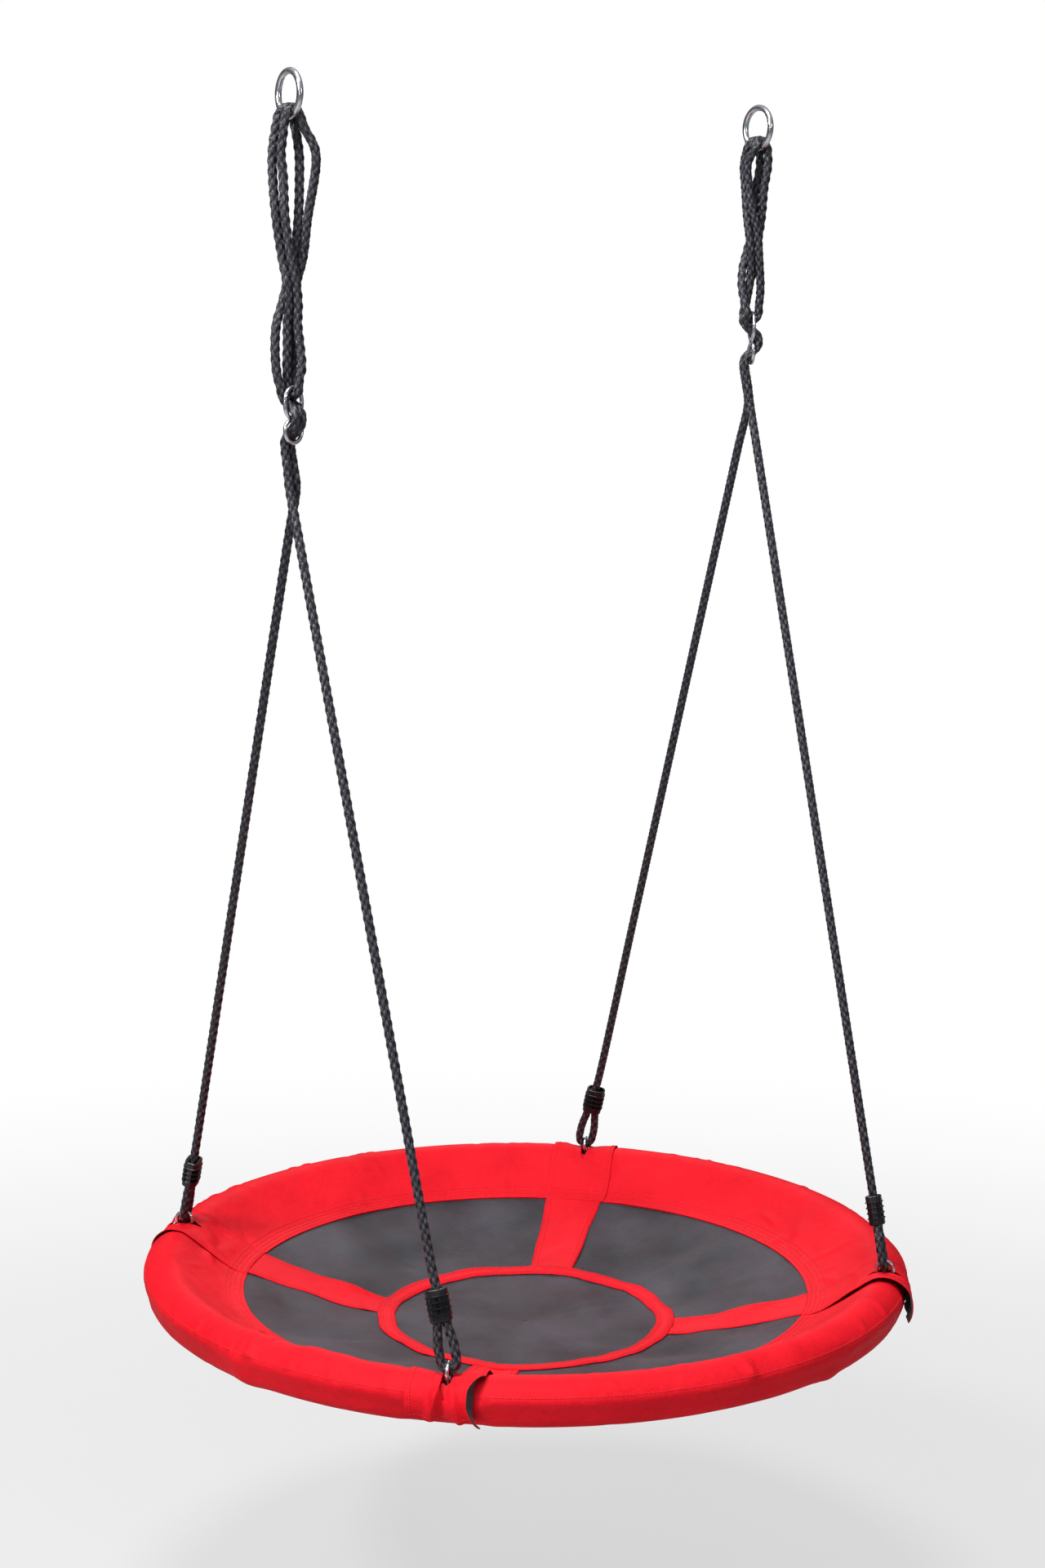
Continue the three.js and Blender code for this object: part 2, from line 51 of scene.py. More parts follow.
# ---- sizes shared with the CAD, in millimetres ----
RIM_Z, RIM_R, TUBE_R, COVER_R = 78.0, 470.0, 13.0, 28.6
SEAM_R, SEAM_Z = 371.0, 53.0
MESH, CLEAR, CLOTH = 2.0, 0.4, 1.3
EYE_Z, EYE_R, EYE_WIRE = 109.0, 10.6, 2.5
RING_X, RING_Z, RING_R, RING_WIRE = 350.0, 1563.0, 26.0, 4.0
ROPE_R = 5.0
TURN_R = RING_WIRE + ROPE_R + 0.6
TURN_TILT, TURN_END, STRAND_START = math.radians(18.5), math.radians(58), math.radians(88)
LOOP_DROP, CLIP_LOW, CLIP_H = 8.9, 56.0, 38.0
BAND_R, BAND_W = 195.0, 24.0
FLAP_HALF = 45.0
EYES = {"front": (225, "left"), "left": (135, "left"), "right": (315, "right"), "back": (45, "right")}
SIDES = {
    "left": {"x": -RING_X, "waist": 1187.0, "turn": 20.0, "face": 29.7},
    "right": {"x": RING_X, "waist": 1287.5, "turn": 63.0, "face": 38.5},
}
PIVOT_Z = RING_Z - RING_R
EYE_WIRE_Z = EYE_Z + EYE_R
EYE_X = RIM_R * math.cos(math.radians(45))


# ---- camera ----
def make_camera():
    """Stands to the front left, a little above the seat and looking slightly down."""
    stand = (-1.9234, -2.8199, 1.2464)
    yaw, pitch, roll = 0.5956, 0.1524, 0.0095
    forward = Vector((math.sin(yaw) * math.cos(pitch), math.cos(yaw) * math.cos(pitch), -math.sin(pitch)))
    level = Vector((math.cos(yaw), -math.sin(yaw), 0))
    above = level.cross(forward)
    right = level * math.cos(roll) + above * math.sin(roll)
    up = above * math.cos(roll) - level * math.sin(roll)
    data = bpy.data.cameras.new("view_camera")
    data.lens, data.sensor_width = 61.76, 36
    data.clip_end = 50
    camera = bpy.data.objects.new("view_camera", data)
    bpy.context.collection.objects.link(camera)
    turn = Matrix((right, up, -forward)).transposed().to_4x4()
    camera.matrix_world = Matrix.Translation(stand) @ turn
    bpy.context.scene.camera = camera


# ---- materials ----
def new_material(name):
    material = bpy.data.materials.new(name)
    material.use_nodes = True
    tree = material.node_tree
    return material, tree, tree.nodes["Principled BSDF"]


def plug(tree, shader, inputs):
    """Sets sockets: a number or colour on the socket itself, and another node's output by a link."""
    for key, value in inputs.items():
        if hasattr(value, "is_output"):
            tree.links.new(value, shader.inputs[key])
        else:
            shader.inputs[key].default_value = value


def node(tree, kind, inputs=None, **settings):
    made = tree.nodes.new(kind)
    for key, value in settings.items():
        setattr(made, key, value)
    plug(tree, made, inputs or {})
    return made


def noise(tree, vector, scale, detail=3.0, rough=0.55):
    return node(
        tree, "ShaderNodeTexNoise",
        {"Vector": vector, "Scale": scale, "Detail": detail, "Roughness": rough},
    ).outputs["Fac"]


def maths(tree, operation, a, b=0.0, c=0.0):
    return node(tree, "ShaderNodeMath", {0: a, 1: b, 2: c}, operation=operation).outputs[0]


def span(tree, value, low, high, to_low=0.0, to_high=1.0):
    return node(
        tree, "ShaderNodeMapRange",
        {"Value": value, "From Min": low, "From Max": high, "To Min": to_low, "To Max": to_high},
    ).outputs["Result"]


def tint(tree, factor, dark, light):
    mixed = node(tree, "ShaderNodeMix", {"Factor": factor}, data_type="RGBA")
    for index, colour in ((6, dark), (7, light)):
        mixed.inputs[index].default_value = (*colour, 1)
    return mixed.outputs[2]


def bump(tree, height, strength, distance, under=None):
    inputs = {"Height": height, "Strength": strength, "Distance": distance}
    if under is not None:
        inputs["Normal"] = under
    return node(tree, "ShaderNodeBump", inputs).outputs["Normal"]


def place(tree):
    return node(tree, "ShaderNodeTexCoord").outputs["Object"]


def yarn_axes(tree):
    """Length along and across the cloth, in metres, kept in the UV map."""
    uv = node(tree, "ShaderNodeUVMap").outputs["UV"]
    parts = node(tree, "ShaderNodeSeparateXYZ", {"Vector": uv})
    return parts.outputs["X"], parts.outputs["Y"]


def ripple(tree, value, pitch):
    """A row of rounded ridges, one every pitch metres."""
    return maths(tree, "ABSOLUTE", maths(tree, "SINE", maths(tree, "MULTIPLY", value, math.pi / pitch)))


def woven_red():
    """Plain-woven polyester: yarns 1.1 mm apart, mottled a little, and crumpled."""
    material, tree, skin = new_material("red_polyester")
    where = place(tree)
    u, v = yarn_axes(tree)
    weave = maths(tree, "MAXIMUM", ripple(tree, u, 0.0011), ripple(tree, v, 0.0011))
    cloud = noise(tree, where, 9.0, 4.0)
    fleck = noise(tree, where, 420.0, 2.0)
    shade = maths(tree, "ADD", maths(tree, "MULTIPLY", cloud, 0.6), maths(tree, "MULTIPLY", fleck, 0.4))
    crumple = bump(tree, noise(tree, where, 30.0, 5.0, 0.6), 0.6, 0.004)
    plug(tree, skin, {
        "Base Color": tint(tree, span(tree, shade, 0.35, 0.65), (0.6, 0.006, 0.014), (0.8, 0.011, 0.022)),
        "Roughness": span(tree, fleck, 0.3, 0.7, 0.5, 0.68),
        "Specular IOR Level": 0.07,
        "Normal": bump(tree, weave, 0.5, 0.0003, crumple),
    })
    return material


def red_thread():
    material, tree, skin = new_material("red_thread")
    twist = noise(tree, place(tree), 1600.0, 2.0)
    plug(tree, skin, {
        "Base Color": tint(tree, twist, (0.5, 0.007, 0.014), (0.8, 0.025, 0.036)),
        "Roughness": 0.55,
        "Specular IOR Level": 0.2,
        "Normal": bump(tree, twist, 0.4, 0.0002),
    })
    return material


def mesh_cloth():
    """Coated yarns in a twill, with large paler patches painted in as sheen."""
    material, tree, skin = new_material("grey_mesh_cloth")
    where = place(tree)
    x, y = yarn_axes(tree)
    diagonal = maths(tree, "ADD", x, y)
    counter = maths(tree, "SUBTRACT", x, y)
    yarns = maths(tree, "MULTIPLY", ripple(tree, diagonal, 0.0040), ripple(tree, counter, 0.0026))
    painted_sheen = noise(tree, where, 8.0, 4.0)
    # the yarn pattern in the colour, plus broad pale patches that are painted sheen
    light = maths(tree, "ADD", maths(tree, "MULTIPLY", yarns, 0.5), span(tree, painted_sheen, 0.38, 0.66, 0.06, 0.5))
    soft = bump(tree, noise(tree, where, 16.0, 3.0), 0.6, 0.006)
    plug(tree, skin, {
        "Base Color": tint(tree, span(tree, light, 0.1, 1.0), (0.003, 0.003, 0.005), (0.074, 0.074, 0.092)),
        "Roughness": span(tree, yarns, 0.0, 1.0, 0.6, 0.34),
        "Specular IOR Level": 0.45,
        "Normal": bump(tree, yarns, 0.8, 0.0006, soft),
    })
    return material


def rope_fibre():
    """Black filaments with painted glints in streaks along the crowns of the strands, and painted shade in
    the grooves between them.
    """
    material, tree, skin = new_material("black_rope_fibre")
    where = place(tree)
    u, v = yarn_axes(tree)
    fine = ripple(tree, maths(tree, "ADD", u, maths(tree, "MULTIPLY", v, 0.35)), 0.0007)
    crown = node(tree, "ShaderNodeAttribute", attribute_name="crown").outputs["Fac"]
    strip = node(tree, "ShaderNodeCombineXYZ", {
        0: maths(tree, "MULTIPLY", u, 900), 1: maths(tree, "MULTIPLY", v, 150),
    })
    streak = noise(tree, strip.outputs[0], 1.0, 2.0)
    dust = noise(tree, where, 260.0, 3.0)
    # painted light in the base colour: blue-grey painted glints where the strands crown, near black as
    # painted shade in the grooves
    painted_glint = maths(tree, "MULTIPLY", span(tree, crown, 0.35, 0.9), span(tree, streak, 0.42, 0.62, 0.14, 1.0))
    plug(tree, skin, {
        "Base Color": tint(tree, painted_glint, (0.001, 0.001, 0.0015), (0.095, 0.095, 0.12)),
        "Roughness": span(tree, dust, 0.3, 0.7, 0.22, 0.42),
        "Specular IOR Level": 0.4,
        "Normal": bump(tree, fine, 0.5, 0.0003),
    })
    return material


def moulded_plastic():
    material, tree, skin = new_material("black_moulded_plastic")
    where = place(tree)
    grain = noise(tree, where, 900.0, 2.0)
    rub = noise(tree, where, 40.0, 4.0)
    plug(tree, skin, {
        "Base Color": tint(tree, rub, (0.004, 0.004, 0.005), (0.010, 0.010, 0.012)),
        "Roughness": span(tree, rub, 0.3, 0.7, 0.2, 0.34),
        "Normal": bump(tree, grain, 0.2, 0.0001),
    })
    return material


def plated_steel():
    material, tree, skin = new_material("zinc_plated_steel")
    where = place(tree)
    spangle = node(tree, "ShaderNodeTexVoronoi", {"Vector": where, "Scale": 260.0}).outputs["Distance"]
    cloud = noise(tree, where, 120.0, 4.0)
    plug(tree, skin, {
        "Base Color": tint(tree, cloud, (0.56, 0.57, 0.6), (0.82, 0.83, 0.85)),
        "Metallic": 1.0,
        "Roughness": span(tree, cloud, 0.3, 0.7, 0.16, 0.32),
        "Normal": bump(tree, spangle, 0.12, 0.0002),
    })
    return material


def bare_steel():
    material, tree, skin = new_material("galvanised_tube")
    cloud = noise(tree, place(tree), 80.0, 4.0)
    plug(tree, skin, {
        "Base Color": tint(tree, cloud, (0.35, 0.36, 0.38), (0.6, 0.61, 0.63)),
        "Metallic": 1.0,
        "Roughness": 0.42,
    })
    return material


def looped_tape():
    """The flaps' black lining, and the fastening tape below them."""
    material, tree, skin = new_material("black_loop_tape")
    fuzz = noise(tree, place(tree), 700.0, 5.0, 0.7)
    plug(tree, skin, {
        "Base Color": tint(tree, fuzz, (0.002, 0.002, 0.002), (0.016, 0.016, 0.018)),
        "Roughness": 0.95,
        "Sheen Weight": 0.08,
        "Normal": bump(tree, fuzz, 0.9, 0.0008),
    })
    return material


def closed_foam():
    material, tree, skin = new_material("grey_foam_cells")
    cells = node(tree, "ShaderNodeTexVoronoi", {"Vector": place(tree), "Scale": 700.0}).outputs["Distance"]
    plug(tree, skin, {
        "Base Color": tint(tree, cells, (0.03, 0.03, 0.032), (0.14, 0.14, 0.145)),
        "Roughness": 0.9,
        "Normal": bump(tree, cells, 0.6, 0.0004),
    })
    return material


# ---- mesh helpers ----
def make_mesh(name, points, faces, materials, body="nest", uvs=None):
    """A smooth piece from points and a pattern's axes, both in millimetres."""
    data = bpy.data.meshes.new(name)
    data.from_pydata([tuple(p) for p in np.asarray(points) * MM], [], [tuple(f) for f in faces])
    for material in materials:
        data.materials.append(material)
    if uvs is not None:
        layer = data.uv_layers.new(name="cloth")
        corners = np.empty(len(data.loops), np.int32)
        data.loops.foreach_get("vertex_index", corners)
        layer.data.foreach_set("uv", (np.asarray(uvs)[corners] * MM).astype(np.float32).ravel())
    data.polygons.foreach_set("use_smooth", [True] * len(data.polygons))
    piece = bpy.data.objects.new(name, data)
    bpy.context.collection.objects.link(piece)
    if body:
        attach(piece, body)
    return piece


def grid_faces(rows, columns, wrap_rows=False, wrap_columns=False):
    """Faces of a grid whose points are laid out row by row."""
    i = np.arange(rows if wrap_rows else rows - 1)
    j = np.arange(columns if wrap_columns else columns - 1)
    i, j = (a.ravel() for a in np.meshgrid(i, j, indexing="ij"))
    k, m = (i + 1) % rows, (j + 1) % columns
    return np.stack([i * columns + j, i * columns + m, k * columns + m, k * columns + j], 1)


def settle(piece):
    """Bakes the piece's modifiers into its mesh."""
    shown = piece.evaluated_get(bpy.context.evaluated_depsgraph_get())
    data = bpy.data.meshes.new_from_object(shown)
    piece.modifiers.clear()
    piece.data = data


def tidy_normals(piece, weld=2e-6):
    """Merges points that meet, and turns all faces the same way."""
    shape = bmesh.new()
    shape.from_mesh(piece.data)
    bmesh.ops.remove_doubles(shape, verts=shape.verts, dist=weld)
    bmesh.ops.recalc_face_normals(shape, faces=shape.faces)
    shape.to_mesh(piece.data)
    shape.free()


def lengths_along(line):
    return np.concatenate([[0], np.cumsum(np.linalg.norm(np.diff(line, axis=0), axis=1))])


def curve_through(points, step, closed=False):
    """A centripetal spline through the points, resampled at even steps."""
    p = np.array(points, float)
    ends = (p[-1:], p[:2]) if closed else (2 * p[:1] - p[1:2], 2 * p[-1:] - p[-2:-1])
    around = np.vstack([ends[0], p, ends[1]])
    dense = []
    for a, b, c, d in zip(around[:-3], around[1:-2], around[2:-1], around[3:]):
        t1 = np.linalg.norm(b - a) ** 0.5
        t2 = t1 + np.linalg.norm(c - b) ** 0.5
        t3 = t2 + np.linalg.norm(d - c) ** 0.5
        t = np.linspace(t1, t2, 24, endpoint=False)[:, None]
        ab = (t1 - t) / t1 * a + t / t1 * b
        bc = (t2 - t) / (t2 - t1) * b + (t - t1) / (t2 - t1) * c
        cd = (t3 - t) / (t3 - t2) * c + (t - t2) / (t3 - t2) * d
        abc = (t2 - t) / t2 * ab + t / t2 * bc
        bcd = (t3 - t) / (t3 - t1) * bc + (t - t1) / (t3 - t1) * cd
        dense.append((t2 - t) / (t2 - t1) * abc + (t - t1) / (t2 - t1) * bcd)
    dense.append(p[:1] if closed else p[-1:])
    line = np.vstack(dense)
    run = lengths_along(line)
    count = max(4, round(run[-1] / step))
    stops = np.linspace(0, run[-1], count + 1)
    even = np.stack([np.interp(stops, run, line[:, k]) for k in range(line.shape[1])], 1)
    return (even[:-1] if closed else even), run[-1]


def directions(line, closed=False):
    if closed:
        ahead = np.roll(line, -1, 0) - np.roll(line, 1, 0)
    else:
        ahead = np.gradient(line, axis=0)
    return ahead / np.linalg.norm(ahead, axis=1, keepdims=True)


def carried_frames(line, first, closed=False):
    """Side directions along a line that never twist about it."""
    along = directions(line, closed)
    side = np.empty_like(along)
    now = first - along[0] * (first @ along[0])
    side[0] = now / np.linalg.norm(now)
    for i in range(1, len(line)):
        now = side[i - 1] - along[i] * (side[i - 1] @ along[i])
        side[i] = now / np.linalg.norm(now)
    return side, np.cross(along, side)


def tube(line, sides, radius, first, closed=False):
    """Points and faces of a tube; radius is a number or a table of length by angle."""
    side, other = carried_frames(line, np.asarray(first, float), closed)
    angle = 2 * math.pi * np.arange(sides) / sides
    around = side[:, None] * np.cos(angle)[None, :, None] + other[:, None] * np.sin(angle)[None, :, None]
    reach = np.broadcast_to(np.asarray(radius, float), (len(line), sides))
    points = (line[:, None] + around * reach[..., None]).reshape(-1, 3)
    faces = [tuple(f) for f in grid_faces(len(line), sides, closed, True)]
    if not closed:
        faces += [tuple(range(sides))[::-1], tuple(range((len(line) - 1) * sides, len(line) * sides))]
    return points, faces


def spun(shape, outline, centre, axis, steps, close):
    """Turns a row of points into a solid of revolution inside a bmesh."""
    corners = [shape.verts.new(tuple(p)) for p in outline]
    pairs = list(zip(corners, corners[1:]))
    if close:
        pairs.append((corners[-1], corners[0]))
    edges = [shape.edges.new(pair) for pair in pairs]
    bmesh.ops.spin(
        shape, geom=corners + edges, cent=tuple(centre), axis=tuple(axis), dvec=(0, 0, 0),
        angle=2 * math.pi, steps=steps, use_merge=True, use_duplicate=False,
    )


def add_ring(shape, centre, radius, wire, normal, steps=90, sides=18):
    """A round wire bent into a ring."""
    normal = unit(np.asarray(normal, float))
    out = unit(np.cross(normal, UP))
    angle = 2 * math.pi * np.arange(sides) / sides
    sideways, endways = (radius + wire * np.cos(angle))[:, None], (wire * np.sin(angle))[:, None]
    outline = centre + out * sideways + normal * endways
    spun(shape, outline, centre, normal, steps, True)


def add_turned(shape, profile, centre, steps=24):
    """A lathe shape about an upright axis, from [radius, height] points that start and end on the axis."""
    outline = [(centre[0] + r, centre[1], z) for r, z in profile]
    spun(shape, outline, centre, UP, steps, False)


def metal_piece(name, shape, body):
    """Ends a bmesh drawn in millimetres as a steel piece."""
    bmesh.ops.remove_doubles(shape, verts=shape.verts, dist=0.002)
    bmesh.ops.recalc_face_normals(shape, faces=shape.faces)
    bmesh.ops.scale(shape, vec=(MM, MM, MM), verts=shape.verts)
    return finished(name, shape, STEEL, body, 50)


def finished(name, shape, material, body, angle):
    """Makes an object of a bmesh in metres, smooth but for its sharp corners."""
    data = bpy.data.meshes.new(name)
    shape.to_mesh(data)
    shape.free()
    data.materials.append(material)
    data.polygons.foreach_set("use_smooth", [True] * len(data.polygons))
    data.set_sharp_from_angle(angle=math.radians(angle))
    piece = bpy.data.objects.new(name, data)
    bpy.context.collection.objects.link(piece)
    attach(piece, body)
    return piece


def stitches(name, rows, pitch=4.6, length=3.5, thick=0.55):
    """Rows of thread: every row is a line of points and the way up at each."""
    # one stitch is a five-sided bead, pointed at both ends
    ring = [(math.cos(a), math.sin(a)) for a in np.arange(5) * 2 * math.pi / 5]
    bead = np.array([(-0.5, 0, 0), *((x, c, s) for x in (-0.36, 0.36) for c, s in ring), (0.5, 0, 0)])
    faces = []
    for i in range(5):
        near, far = (1 + i, 1 + (i + 1) % 5), (6 + i, 6 + (i + 1) % 5)
        faces += [(0, *near[::-1]), (*near, *far[::-1]), (11, *far)]
    points, every, start = [], [], 0
    for line, ups in rows:
        line, ups = np.asarray(line, float), np.asarray(ups, float)
        run = lengths_along(line)
        stops = np.arange(pitch / 2, run[-1], pitch)
        if len(stops) < 2:
            continue
        at = np.stack([np.interp(stops, run, line[:, k]) for k in range(3)], 1)
        up = np.stack([np.interp(stops, run, ups[:, k]) for k in range(3)], 1)
        along = directions(at)
        up -= along * np.sum(up * along, axis=1, keepdims=True)
        up /= np.linalg.norm(up, axis=1, keepdims=True)
        across = np.cross(up, along)
        where = (
            at[:, None] + along[:, None] * bead[None, :, :1] * length
            + across[:, None] * bead[None, :, 1:2] * thick * 1.25
            + up[:, None] * (bead[None, :, 2:] * thick + 0.2)
        )
        points.append(where.reshape(-1, 3))
        for _ in stops:
            every += [tuple(start + i for i in f) for f in faces]
            start += len(bead)
    make_mesh(name, np.vstack(points), every, [THREAD])


def creases(u, v, seed, count, long, wide, tall, around=None, slant=0.5):
    """Soft folds scattered over a cloth: lengths, widths and heights in millimetres."""
    draw = np.random.default_rng(seed)
    height = np.zeros_like(u)
    for _ in range(count):
        centre = draw.uniform(u.min(), u.max()), draw.uniform(v.min(), v.max())
        lean = draw.normal(0, slant)
        reach, width = draw.uniform(0.5, 1.3) * long, draw.uniform(0.6, 1.4) * wide
        tallness = draw.uniform(-0.6, 1.0) * tall
        du = u - centre[0]
        if around:
            du = (du + around / 2) % around - around / 2
        dv = v - centre[1]
        x = du * math.cos(lean) + dv * math.sin(lean)
        y = dv * math.cos(lean) - du * math.sin(lean)
        height += tallness * np.exp(-((x / width) ** 2) - (y / reach) ** 2)
    return height


def eye_direction(angle):
    """Outwards and round the rim, at an eye bolt."""
    a = math.radians(angle)
    return np.array([math.cos(a), math.sin(a), 0.0]), np.array([-math.sin(a), math.cos(a), 0.0])


# ---- ropes ----
def plumb_x(side, z):
    """Where the upper loop hangs at a height: in line from the ring to the middle of its two eyes."""
    lean = math.copysign(RING_X - EYE_X, SIDES[side]["x"])
    return SIDES[side]["x"] - lean * (PIVOT_Z - z) / (PIVOT_Z - EYE_WIRE_Z)


def in_loop(side, points):
    """Places points given across the upper loop, away from its face, and by height."""
    a = math.radians(SIDES[side]["face"])
    c, s = math.cos(a), math.sin(a)
    return [[plumb_x(side, z) + w * c - t * s, -w * s - t * c, z] for w, t, z in points]


def in_adjuster(side, points):
    """Places points given across the adjuster, away from its face, and by height over its waist."""
    b = math.radians(SIDES[side]["turn"])
    c, s = math.cos(b), math.sin(b)
    waist = SIDES[side]["waist"]
    x = plumb_x(side, waist)
    return [[x + w * c + n * s, w * s - n * c, waist + h] for w, n, h in points]


def on_turn(side, row, angle):
    """A point of a turn over the ring's wire; row says which of the two turns, 1 or -1."""
    reach = RING_R - TURN_R * math.cos(angle)
    tilt = row * TURN_TILT
    x = SIDES[side]["x"] + TURN_R * math.sin(angle)
    return [x, reach * math.sin(tilt), RING_Z - reach * math.cos(tilt)]


# each side's upper loop has two strands to its left and two to its right, all from the ring down
STRANDS = {
    "left": {
        "L1": [[-18, -2, 1512], [-20.2, -1, 1494], [-20.2, 0, 1470], [-17, 2.5, 1422], [-10.5, 2, 1375],
               [-5, 5.8, 1345], [-3.5, 4, 1320], [-5.5, 0, 1298], [-6, -1.5, 1270], [-6.8, -3.8, 1245]],
        "L2": [[-8, 10, 1512], [-10, 8, 1494], [-8, 7.2, 1470], [-6.5, 7.5, 1422], [-0.5, 7, 1375],
               [5.6, 5.8, 1345], [7.4, 4, 1320], [6.6, 2.5, 1298], [9.2, 3, 1270], [10.5, 5, 1247]],
        "R1": [[9, -11, 1512], [11, -9.5, 1494], [11, -8.5, 1470], [9, -7, 1422], [3, -7.3, 1375],
               [-5.2, -6.4, 1345], [-12, -4.6, 1320], [-18.4, -1, 1298], [-20.4, 1.5, 1270],
               [-18.6, 3, 1240]],
        "R2": [[18.5, 1, 1522], [25.5, 0.4, 1510], [29.8, -0.3, 1499], [30.8, -1, 1487], [29, -2, 1470],
               [24.6, -3.6, 1446], [20, -5, 1422], [13.6, -6.6, 1375], [5.6, -6.4, 1345],
               [4.5, -8.4, 1320], [2, -11.4, 1298], [1, -12.6, 1270], [-0.4, -13.8, 1240]],
    },
    "right": {
        "L1": [[-17, -4, 1517], [-14.5, -3, 1487], [-12, 0, 1460], [-9.8, 3, 1442], [-6, 5.5, 1418],
               [-4.4, 4, 1400], [-3.6, 1.5, 1382], [-5, 0.5, 1360], [-7.4, 1, 1344]],
        "L2": [[-12, 9, 1517], [-9.5, 8, 1487], [-5.6, 8.8, 1460], [0.6, 7.8, 1442], [4.8, 6, 1418],
               [6.4, 4.5, 1400], [8, 2, 1382], [9.6, 0, 1360], [9.4, -1.2, 1346]],
        "R1": [[4, -11.5, 1517], [0, -10, 1487], [-1.6, -9.7, 1460], [-3.2, -7.6, 1442],
               [-6.5, -6.5, 1418], [-10.8, -4.6, 1400], [-14.6, -0.5, 1382], [-15, 6, 1360],
               [-11.6, 10.8, 1342]],
        "R2": [[14.5, 0, 1517], [10.5, -2.5, 1487], [9, -5.4, 1460], [7.6, -6.4, 1442], [4.4, -6.8, 1418],
               [3, -8.4, 1400], [0, -9.8, 1382], [-5.4, -10.6, 1360], [-9.4, -10, 1342]],
    },
}
# through the adjuster and down into a leg
THROUGH = [[12, -9.2, 36], [9.4, -9.8, 28], [6.3, -6.5, 20.5], [5.3, 0, 14.5], [5.3, 7.3, 7],
           [5.3, 8.8, -0.5], [5.3, 6.6, -7.5], [5.3, 0, -14], [5.3, -6.4, -20.5], [5.3, -9, -28],
           [5.4, -8.2, -38], [5.8, -4.5, -58]]
LEG_TOP = [6.2, -1.5, -80]
# under the adjuster's top bar
BIGHT = [[0, 8.8, 46], [0, 8.9, 38.5], [0, 6.3, 31.3], [0, 0, 28.3], [0, -6.3, 31.3], [0, -8.9, 38.5],
         [0, -8.7, 46]]
# from the clip round the eye's wire and back up beside the leg; across and up from the loop's bottom
EYE_LOOP = [[-5.4, 74], [-5.4, 60], [-6.2, 50], [-8.8, 34], [-9.6, 20], [-7.8, 5.8], [0, 0], [7.8, 5.8],
            [9.6, 20], [8.8, 34], [6.2, 50], [5.4, 60], [5.4, 74], [3.8, 84], [1, 96], [0, 112]]


def unit(v):
    return v / np.linalg.norm(v)


def leg_frame(eye):
    """The top of one leg, and its loop's bottom point, way up and way across."""
    angle, side = EYES[eye]
    sign = -1 if eye in ("front", "right") else 1
    top = np.array(in_adjuster(side, [[sign * LEG_TOP[0], LEG_TOP[1], LEG_TOP[2]]])[0])
    radial, tangent = eye_direction(angle)
    centre = radial * RIM_R + UP * EYE_Z
    lean = unit(top - centre)
    wire = centre + unit(lean - tangent * (lean @ tangent)) * EYE_R
    up = unit(top - wire)
    across = unit(tangent - up * (tangent @ up))
    return sign, side, top, up, across, wire - up * LOOP_DROP


def leg_route(eye):
    """From the hanging ring through the adjuster to the tail inside the clip."""
    sign, side, top, up, across, bottom = leg_frame(eye)
    loop = [bottom + across * s + up * h for s, h in EYE_LOOP][::-1]
    straight = [top + (loop[0] - top) * share for share in (0.06, 0.25, 0.5, 0.75)]
    return [
        on_turn(side, sign * -1, STRAND_START),
        *in_loop(side, STRANDS[side]["R1" if sign < 0 else "R2"]),
        *in_adjuster(side, [[sign * w, n, h] for w, n, h in [*THROUGH, LEG_TOP]]),
        *straight,
        *loop,
    ]


def ring_turn(side, row, start, end):
    """The part of a turn that lies on the ring's wire."""
    return [on_turn(side, row, start + (end - start) * i / 8) for i in range(9)]


def whole_rope(side, first_eye, last_eye):
    """One rope: eye, adjuster, ring, back under the adjuster's top bar, ring, adjuster, other eye."""
    bight = [
        on_turn(side, 1, -STRAND_START),
        *in_loop(side, STRANDS[side]["L1"]),
        *in_adjuster(side, BIGHT[::-1]),
        *in_loop(side, STRANDS[side]["L2"][::-1]),
        on_turn(side, -1, -STRAND_START),
    ]
    return [
        *leg_route(first_eye)[::-1],
        *ring_turn(side, 1, TURN_END, -TURN_END),
        *bight,
        *ring_turn(side, -1, -TURN_END, TURN_END),
        *leg_route(last_eye),
    ]


def braid_humps(run, sides):
    """Height of an eight-strand braid, 0 to 1, by length and angle: strands dive under each other in turn."""
    pairs, lay = 4, 50.0
    angle = np.arange(sides) / sides
    u = pairs * (angle[None] + run[:, None] / lay)
    v = pairs * (angle[None] - run[:, None] / lay)
    over = (np.floor(u) + np.floor(v)) % 2 == 0
    du, dv = u % 1, v % 1
    across, along = np.where(over, du, dv), np.where(over, dv, du)
    return np.sqrt(1 - 0.94 * (2 * across - 1) ** 2) * (0.4 + 0.6 * np.sin(math.pi * along))


def make_rope(side, first_eye, last_eye):
    """A whole rope, bending sideways just below the ring's wire."""
    step, sides, hollow, crown = 1.25, 24, 4.2, 6.0
    line, length = curve_through(whole_rope(side, first_eye, last_eye), step)
    run = np.linspace(0, length, len(line))
    humps = braid_humps(run, sides)
    points, faces = tube(line, sides, hollow + (crown - hollow) * humps, (0, 1, 0.2))
    angle = np.tile(np.arange(sides) / sides * 2 * math.pi * ROPE_R, len(line))
    uvs = np.stack([angle, np.repeat(run, sides)], 1)
    piece = make_mesh(f"braided_rope_{side}", points, faces, [ROPE], body=None, uvs=uvs)
    # the humps' heights are kept for the rope's colour, which paints glints on the crowns and shade in the
    # grooves
    heights = piece.data.attributes.new("crown", "FLOAT", "POINT")
    heights.data.foreach_set("value", humps.astype(np.float32).ravel())
    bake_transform(piece)
    gone = [f"rope_turn_far_{side}", f"rope_turn_near_{side}", f"rope_bight_{side}"]
    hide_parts(*gone, f"rope_leg_{first_eye}", f"rope_leg_{last_eye}")


